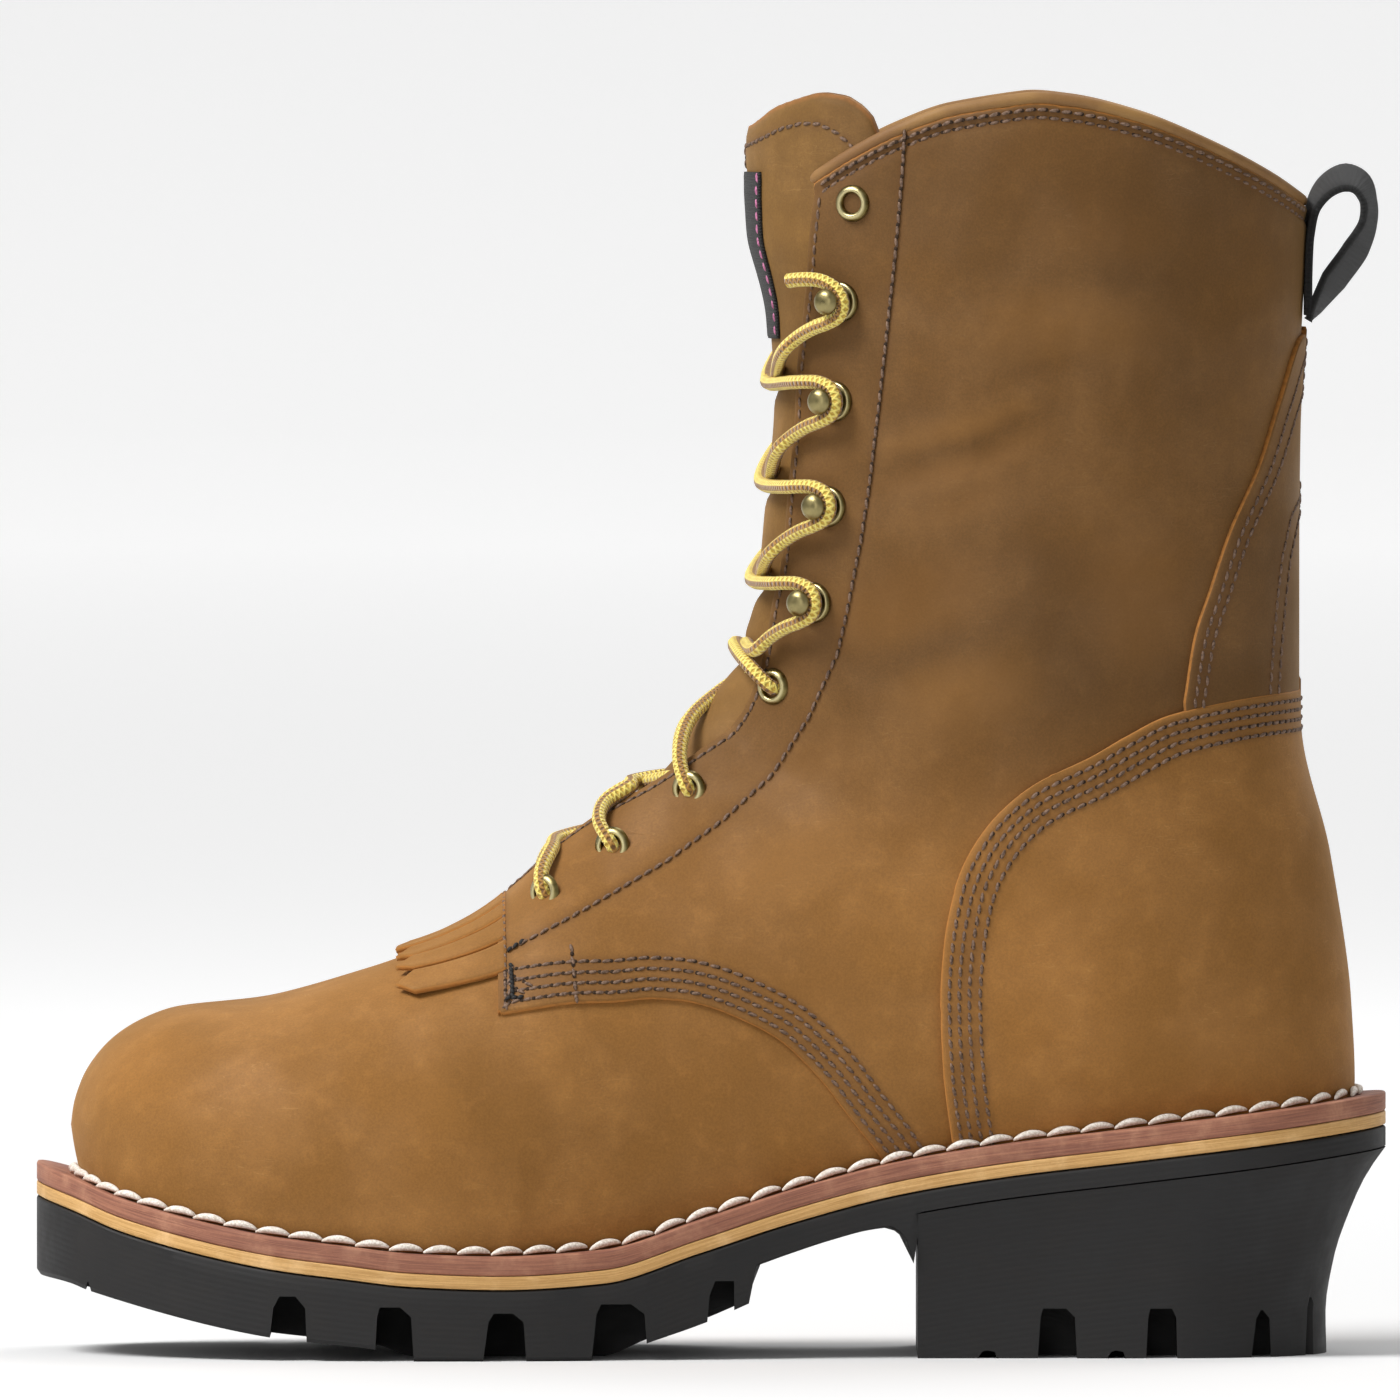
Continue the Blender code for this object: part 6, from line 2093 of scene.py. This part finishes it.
def rolled(profile_points, wear_at, count=6):
    """A smooth profile through a few points, with wear where it stands highest."""
    points = np.array(profile_points, float)
    fine = []
    for k in range(len(points) - 1):
        for t in np.linspace(0, 1, count, endpoint=False):
            p0, p1, p2, p3 = (points[min(max(k + j, 0), len(points) - 1)] for j in (-1, 0, 1, 2))
            bend = (2 * p0 - 5 * p1 + 4 * p2 - p3) * t**2
            fine.append(0.5 * (2 * p1 + (p2 - p0) * t + bend + (3 * p1 - p0 - 3 * p2 + p3) * t**3))
    fine.append(points[-1])
    return [(max(r, 0.0), z, float(np.clip((z - wear_at) / 0.0004, 0, 1))) for r, z in fine]


eyelet_profile = [
    (0.00215, -0.0028), (0.0022, -0.0008), (0.0024, 0.0004), (0.0029, 0.00105), (0.0035, 0.0010),
    (0.0041, 0.0005), (0.0044, -0.0002),
]
eyelet = spun("eyelet_pattern", rolled(eyelet_profile, 0.0007, 5), 40)
washer_profile = [
    (0.0, 0.0006), (0.0014, 0.0006), (
        0.0026, 0.00045,
    ), (0.0034, 0.00075), (0.0040, 0.00115), (0.0045, 0.0009), (0.0048, 0.0002), (0.0047, -0.0003),
]
washer = rolled(washer_profile, 0.0008, 4)
cap_profile = [
    (0.0013, 0.0004), (0.0013, 0.0020), (
        0.00125, 0.0046,
    ), (0.0014, 0.0054), (0.0022, 0.0056), (0.0029, 0.0059),
    (0.0031, 0.0064), (0.0028, 0.0071), (0.0020, 0.0078), (0.0010, 0.0081), (0.0, 0.0082),
]
cap = [(r, z, 0.25 if z > 0.0065 else 0.0) for r, z, _ in rolled(cap_profile, 0.0071, 4)]
hook_disc = spun("hook_disc_pattern", washer, 48)
hook_cap = spun("hook_cap_pattern", cap, 36)


def brass_points(name, rows):
    vertices, lean, heading = [], [], []
    for row in rows:
        for side in (-1, 1):
            x, z = spot(*row)
            points, normals = on_leather(np.array([[x, z]]), side, QUARTER_STEP + THREAD_LIFT)
            vertices.append(tuple(points[0]))
            lean.append(tuple(normals[0]))
            heading.append((0.0, 0.0, 1.0))
    mesh = bpy.data.meshes.new(name)
    mesh.from_pydata(vertices, [], [])
    for key, data in (("lean", lean), ("heading", heading)):
        mesh.attributes.new(key, "FLOAT_VECTOR", "POINT").data.foreach_set(
            "vector", np.array(data, np.float32).ravel(),
        )
    return mesh


eyelets = set_pieces(
    "eyelets", brass_points("eyelets", EYELET_ROWS + [TOP_EYELET]), POINT_TREE, eyelet, BRASS,
)
ride(eyelets, "antique_brass", *[f"eyelet_{k:02d}" for k in range(1, 11)])
hook_mesh = brass_points("hooks", HOOK_ROWS)
discs = set_pieces("hook_discs", hook_mesh.copy(), POINT_TREE, hook_disc, BRASS)
caps = set_pieces("hook_caps", hook_mesh, POINT_TREE, hook_cap, BRASS)
hook_nodes = [f"hook_{k}" for k in range(1, 9)]
ride(discs, "antique_brass", *hook_nodes)
ride(caps, "antique_brass", *hook_nodes)

# %% [markdown]
# **The lace** comes up through each eyelet from inside, leans over the throat's edge and crosses to
# the next row on the other side. At a hook it comes in from below, goes round behind the neck and
# leaves above. Its route is written as a maker would lace it: row by row, in the hook's own frame.


# %% Lace routes
def placed(x, z, side, lift):
    """A point off the leather that is seen at (x, z) from the side."""
    aim = np.array([[x, z]], float)
    for _ in range(6):
        step, angle = locate(aim[:, 0], aim[:, 1])
        base = last_points(step, angle, side)
        normal = ridge_normals(step, angle, side)
        point = base + normal * lift
        aim = aim + (np.array([[x, z]]) - point[:, [0, 2]]) * 0.7
    return point[0]


def ridge_point(z, lift):
    """A point in front of the throat's middle at a height."""
    steps = np.linspace(7.5, LAST_STEP, 900)
    base = last_points(steps, 0.0, -1)
    normal = ridge_normals(steps, 0.0, -1)
    points = base + normal * lift
    return points[int(np.argmin(np.abs(points[:, 2] - z)))]


# Where each eyelet's strand goes after it comes out: millimetres from the eyelet, and lift
LEAVE = [
    [(-1.4, 5.4, 3.9), (0.9, 10.6, 3.2)],
    [(-3.4, 6.4, 3.9), (-1.8, 10.6, 3.1), (3.8, 14.2, 2.0)],
    [(-2.6, 7.6, 4.2), (-0.9, 15.6, 3.8)],
    [(-5.6, 4.4, 4.2)],
]
# How far above each row the two strands cross in front of the tongue, and the lower strand's lift
CROSSINGS = [(13.2, -1.6), (15.4, -1.9), (21.4, -1.8), (9.8, -2.6), (5.2, -3.2), (5.4, -3.2), (4.4, -3.2)]
# Round a hook from below: millimetres ahead of its neck, above it, and out from the leather
HOOK_TURN = [
    (
        15.6, -11.0, -2.0,
    ), (11.0, -7.9, -1.6), (5.6, -5.6, -0.4), (1.6, -4.4, 0.1), (-1.9, -2.6, 0.1), (-2.9, 0.2, 0.1),
    (-1.7, 3.0, 0.1), (1.6, 4.5, 0.1), (6.0, 4.7, -0.3), (10.5, 4.5, -1.7),
]
FREE_END = [(-1.7, 3.0, 0.1), (1.4, 5.0, 0.2), (4.8, 5.7, 0.3), (9.4, 5.6, 0.1), (12.6, 5.2, -0.3)]
LACE_ROWS = [(row, False) for row in EYELET_ROWS] + [(row, True) for row in HOOK_ROWS]


def hook_frame(row, side):
    x, z = spot(*row)
    points, normals = on_leather(np.array([[x, z]]), side, QUARTER_STEP)
    out = normals[0]
    up = np.array([0, 0, 1.0]) - out * out[2]
    up /= np.linalg.norm(up)
    front = np.cross(up, out)
    if front[0] > 0:
        front = -front
    return points[0] + out * 0.0036, out, up, front


def lace_points(first_side):
    keys = []
    for number, (row, hooked) in enumerate(LACE_ROWS):
        side = first_side * (-1) ** number
        x, z = spot(*row)
        if hooked:
            centre, out, up, front = hook_frame(row, side)
            around = HOOK_TURN
            if number == len(LACE_ROWS) - 1:
                around = HOOK_TURN[:6] + FREE_END
            for ahead, rise, lift in around:
                keys.append(centre + (front * ahead + up * rise + out * lift) / 1000)
            if number == len(LACE_ROWS) - 1:
                break
        else:
            step, angle = locate([x], [z])
            for back, share, lift in (
                (-0.10, 0.55, -2.9), (-0.02, 0.86, -3.3), (0.0, 1.0, -1.8), (0.0, 1.0, 2.0),
            ):
                at_step, at_angle = step + back, angle * share
                base = last_points(at_step, at_angle, side)[0]
                normal = ridge_normals(at_step, at_angle, side)[0]
                keys.append(base + normal * lift / 1000)
            for dx, dz, lift in LEAVE[number]:
                keys.append(placed(x + dx / 1000, z + dz / 1000, side, lift / 1000))
        rise, low_lift = CROSSINGS[number]
        over = LACE * 0.75 if (number % 2 == 0) == (first_side < 0) else 0.0
        keys.append(ridge_point(z + rise / 1000, low_lift / 1000 + over))
        last_crossing = keys[-1]
    return np.array(keys), last_crossing


def smooth_route(keys, spacing=0.0006):
    """A smooth curve through the keys, at even steps."""
    fine = []
    for k in range(len(keys) - 1):
        p0, p1, p2, p3 = (keys[min(max(k + j, 0), len(keys) - 1)] for j in (-1, 0, 1, 2))
        d1, d2, d3 = (max(np.linalg.norm(b - a), 1e-6) ** 0.5 for a, b in ((p0, p1), (p1, p2), (p2, p3)))
        m1 = (p1 - p0) / d1 - (p2 - p0) / (d1 + d2) + (p2 - p1) / d2
        m2 = (p2 - p1) / d2 - (p3 - p1) / (d2 + d3) + (p3 - p2) / d3
        m1, m2 = m1 * d2, m2 * d2
        if k == 0:
            m1 = p2 - p1
        if k == len(keys) - 2:
            m2 = p2 - p1
        for t in np.linspace(0, 1, 24, endpoint=False):
            first = (2 * t**3 - 3 * t**2 + 1) * p1 + (t**3 - 2 * t**2 + t) * m1
            fine.append(first + (3 * t**2 - 2 * t**3) * p2 + (t**3 - t**2) * m2)
    fine = np.array(fine + [keys[-1]])
    return even_line(fine, int(line_length(fine) / spacing) + 2)


def lace_outline(share, run, total):
    """A round braid, slightly flattened, with shallow bumps where its strands cross."""
    turn = np.linspace(0, 2 * math.pi, 16, endpoint=False)
    strands = run * 2 * math.pi / 0.0026
    bump = 1 + 0.035 * np.sin(4 * turn + strands) * np.sin(4 * turn - strands)
    close = min(1.0, 0.55 + min(run, total - run) / 0.0008)
    radius = LACE / 2 * bump * close
    return np.stack([np.cos(turn) * radius * 1.04, np.sin(turn) * radius * 0.96], axis=1)


crossings = [f"lace_crossing_{k}" for k in range(1, 8)]
free_ends = {}
for first_side, word in ((1, "one"), (-1, "two")):
    keys, last_crossing = lace_points(first_side)
    route = smooth_route(keys)
    split = int(np.argmin(np.linalg.norm(route - last_crossing, axis=1)))
    piece = swept(f"lace_{word}", route[: split + 2], lace_outline, LACE_BRAID)
    ride(piece, "lace_cord", *crossings)
    free_ends[first_side * (-1) ** (len(LACE_ROWS) - 1)] = route[split:]
    print("lace", word, "mm:", round(line_length(route) * 1000))

# %% [markdown]
# The two free ends run from the last crossing round the top hooks and stop a little way towards the
# tongue, cut off blunt as in the photo. They are the only free cords.

# %% Lace ends
for side, node, word in ((-1, "lace_end_1", "outer"), (1, "lace_end_2", "inner")):
    route = free_ends[side]
    piece = swept(f"lace_end_{word}", route, lace_outline, LACE_BRAID)
    ride(piece, "lace_cord", node)

# %% [markdown]
# **The pull loop** is a length of ribbed webbing, folded in a loop and sewn under the collar. It has
# been pulled a little to one side, so the band is twisted and its broad face shows.

# %% Pull loop
LOOP_LINE = [
    (
        0.01, -0.95, 0.00,
    ), (0.01, -0.60, 0.00), (0.02, -0.25, 0.02), (0.055, 0.02, 0.10), (0.18, 0.21, 0.22), (0.35, 0.29, 0.30),
    (0.48, 0.24, 0.26), (
        0.555, 0.08, 0.16,
    ), (0.55, -0.12, 0.18), (0.44, -0.36, 0.30), (0.24, -0.64, 0.30), (0.07, -0.90, 0.12), (0.01, -1.00, 0.0),
]
backs = last_points(np.linspace(17, LAST_STEP, 400), math.pi, 1)
top_z = float(collar_z(0.1395))


def loop_back(z):
    return float(np.interp(z, backs[:, 2], backs[:, 0])) + QUARTER_STEP


loop_start = loop_back(top_z)
loop_keys = np.array([(loop_start + a * LOOP_LENGTH, 0.0, top_z + b * LOOP_LENGTH) for a, b, _ in LOOP_LINE])
loop_route = smooth_route(loop_keys, 0.0008)
loop_run = np.linspace(0, 1, len(loop_route))
key_run = run_along(loop_keys)
twist = np.interp(loop_run, key_run / key_run[-1], [t for *_, t in LOOP_LINE])
loop_way = np.gradient(loop_route, axis=0)
loop_way /= np.linalg.norm(loop_way, axis=1, keepdims=True)
flat_side = np.cross(loop_way, [0, 1.0, 0])
loop_sides = np.array([0, 1.0, 0]) * np.cos(twist)[:, None] + flat_side * np.sin(twist)[:, None]


def webbing_outline(share, run, total):
    """A band with rounded edges: wide across, about 1.8 mm thick."""
    half, thick = LOOP_WIDTH / 2 - 0.0006, 0.0009
    corner = 0.0005
    across = [-half, -half * 0.5, 0, half * 0.5, half]
    upper = [(a, thick) for a in across]
    lower = [(a, -thick) for a in reversed(across)]
    return upper + [(half + corner, thick * 0.4), (half + corner, -thick * 0.4)] + lower + [
        (-half - corner, -thick * 0.4), (-half - corner, thick * 0.4),
    ]


loop = swept("pull_loop", loop_route, webbing_outline, WEBBING, sides=loop_sides)
ride(loop, "black_webbing", "pull_loop")
for pattern in (upper_stitch, hole_shade_piece, tack, welt_stitch, eyelet, hook_disc, hook_cap):
    bpy.data.objects.remove(pattern)

# %% [markdown]
# **The insole board** is pressed fibre under the foot. Little of it shows down the shaft, so the
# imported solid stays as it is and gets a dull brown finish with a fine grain.

# %% Insole board
insole = bpy.data.objects["insole"]
insole.data.materials.clear()
insole.data.materials.append(plain_leather("pressed insole board", "#B98A5E", "#9A6F48", 0.85, 500.0))
print("insole faces:", len(insole.data.polygons))

# %% [markdown]
# ## Stage and light
#
# The photo's background is an even pale grey with a soft shadow under the sole. A wide sheet of paper
# that curves up behind the boot gives it, with one large light above and two weaker ones.

# %% Pale sweep and soft lights
# The paper glows as painted light, from none to its full strength between two places behind the boot
GLOW_START, GLOW_END, GLOW = 0.2, 2.6, 0.50
ROOM_LIGHT = 0.38
LIT_POINT = Vector((0, 0, 0.13))


def pale_paper():
    made, tree, shader = new_material("pale studio paper", Roughness=0.9)
    shader.inputs["Base Color"].default_value = linear("#DEDEDE")
    shader.inputs["Emission Color"].default_value = linear("#FFFFFF")
    # Painted light: where the sheet rises behind the boot it glows, so it stays as pale as in front
    where = object_place(tree)
    back = add(tree, "ShaderNodeSeparateXYZ", {"Vector": where}).outputs["Y"]
    glow = ranged(tree, back, GLOW_START, GLOW_END, 0.0, GLOW)
    tree.links.new(glow, shader.inputs["Emission Strength"])
    return made


sweep = [(-12.0, 0.0), (10.4, 0.0), (11.0, 0.05), (11.5, 0.3), (11.8, 0.9), (12.0, 6.0)]
vertices = [(x, y, z) for y, z in sweep for x in (-12.0, 12.0)]
faces = [(2 * k, 2 * k + 1, 2 * k + 3, 2 * k + 2) for k in range(len(sweep) - 1)]
floor = new_object("studio_floor", mesh_from("studio_floor", vertices, faces), pale_paper())
LIGHTS = [
    ("key light", (-1.3, -0.7, 2.0), 1.2, 66.0),
    ("front light", (-0.7, -2.6, 0.6), 1.6, 8.5),
    ("back light", (0.7, 1.1, 1.7), 1.4, 14.0),
]
for name, place, size, power in LIGHTS:
    data = bpy.data.lights.new(name, "AREA")
    data.shape = "DISK"
    data.size = size
    data.energy = power
    lamp = bpy.data.objects.new(name, data)
    bpy.context.scene.collection.objects.link(lamp)
    lamp.location = place
    lamp.rotation_euler = (LIT_POINT - Vector(place)).to_track_quat("-Z", "Y").to_euler()
world = bpy.data.worlds.new("studio")
world.use_nodes = True
world.node_tree.nodes["Background"].inputs[0].default_value = (1, 1, 1, 1)
world.node_tree.nodes["Background"].inputs[1].default_value = ROOM_LIGHT
bpy.context.scene.world = world
bpy.context.scene.view_settings.view_transform = "Standard"
print("lights:", len(LIGHTS))
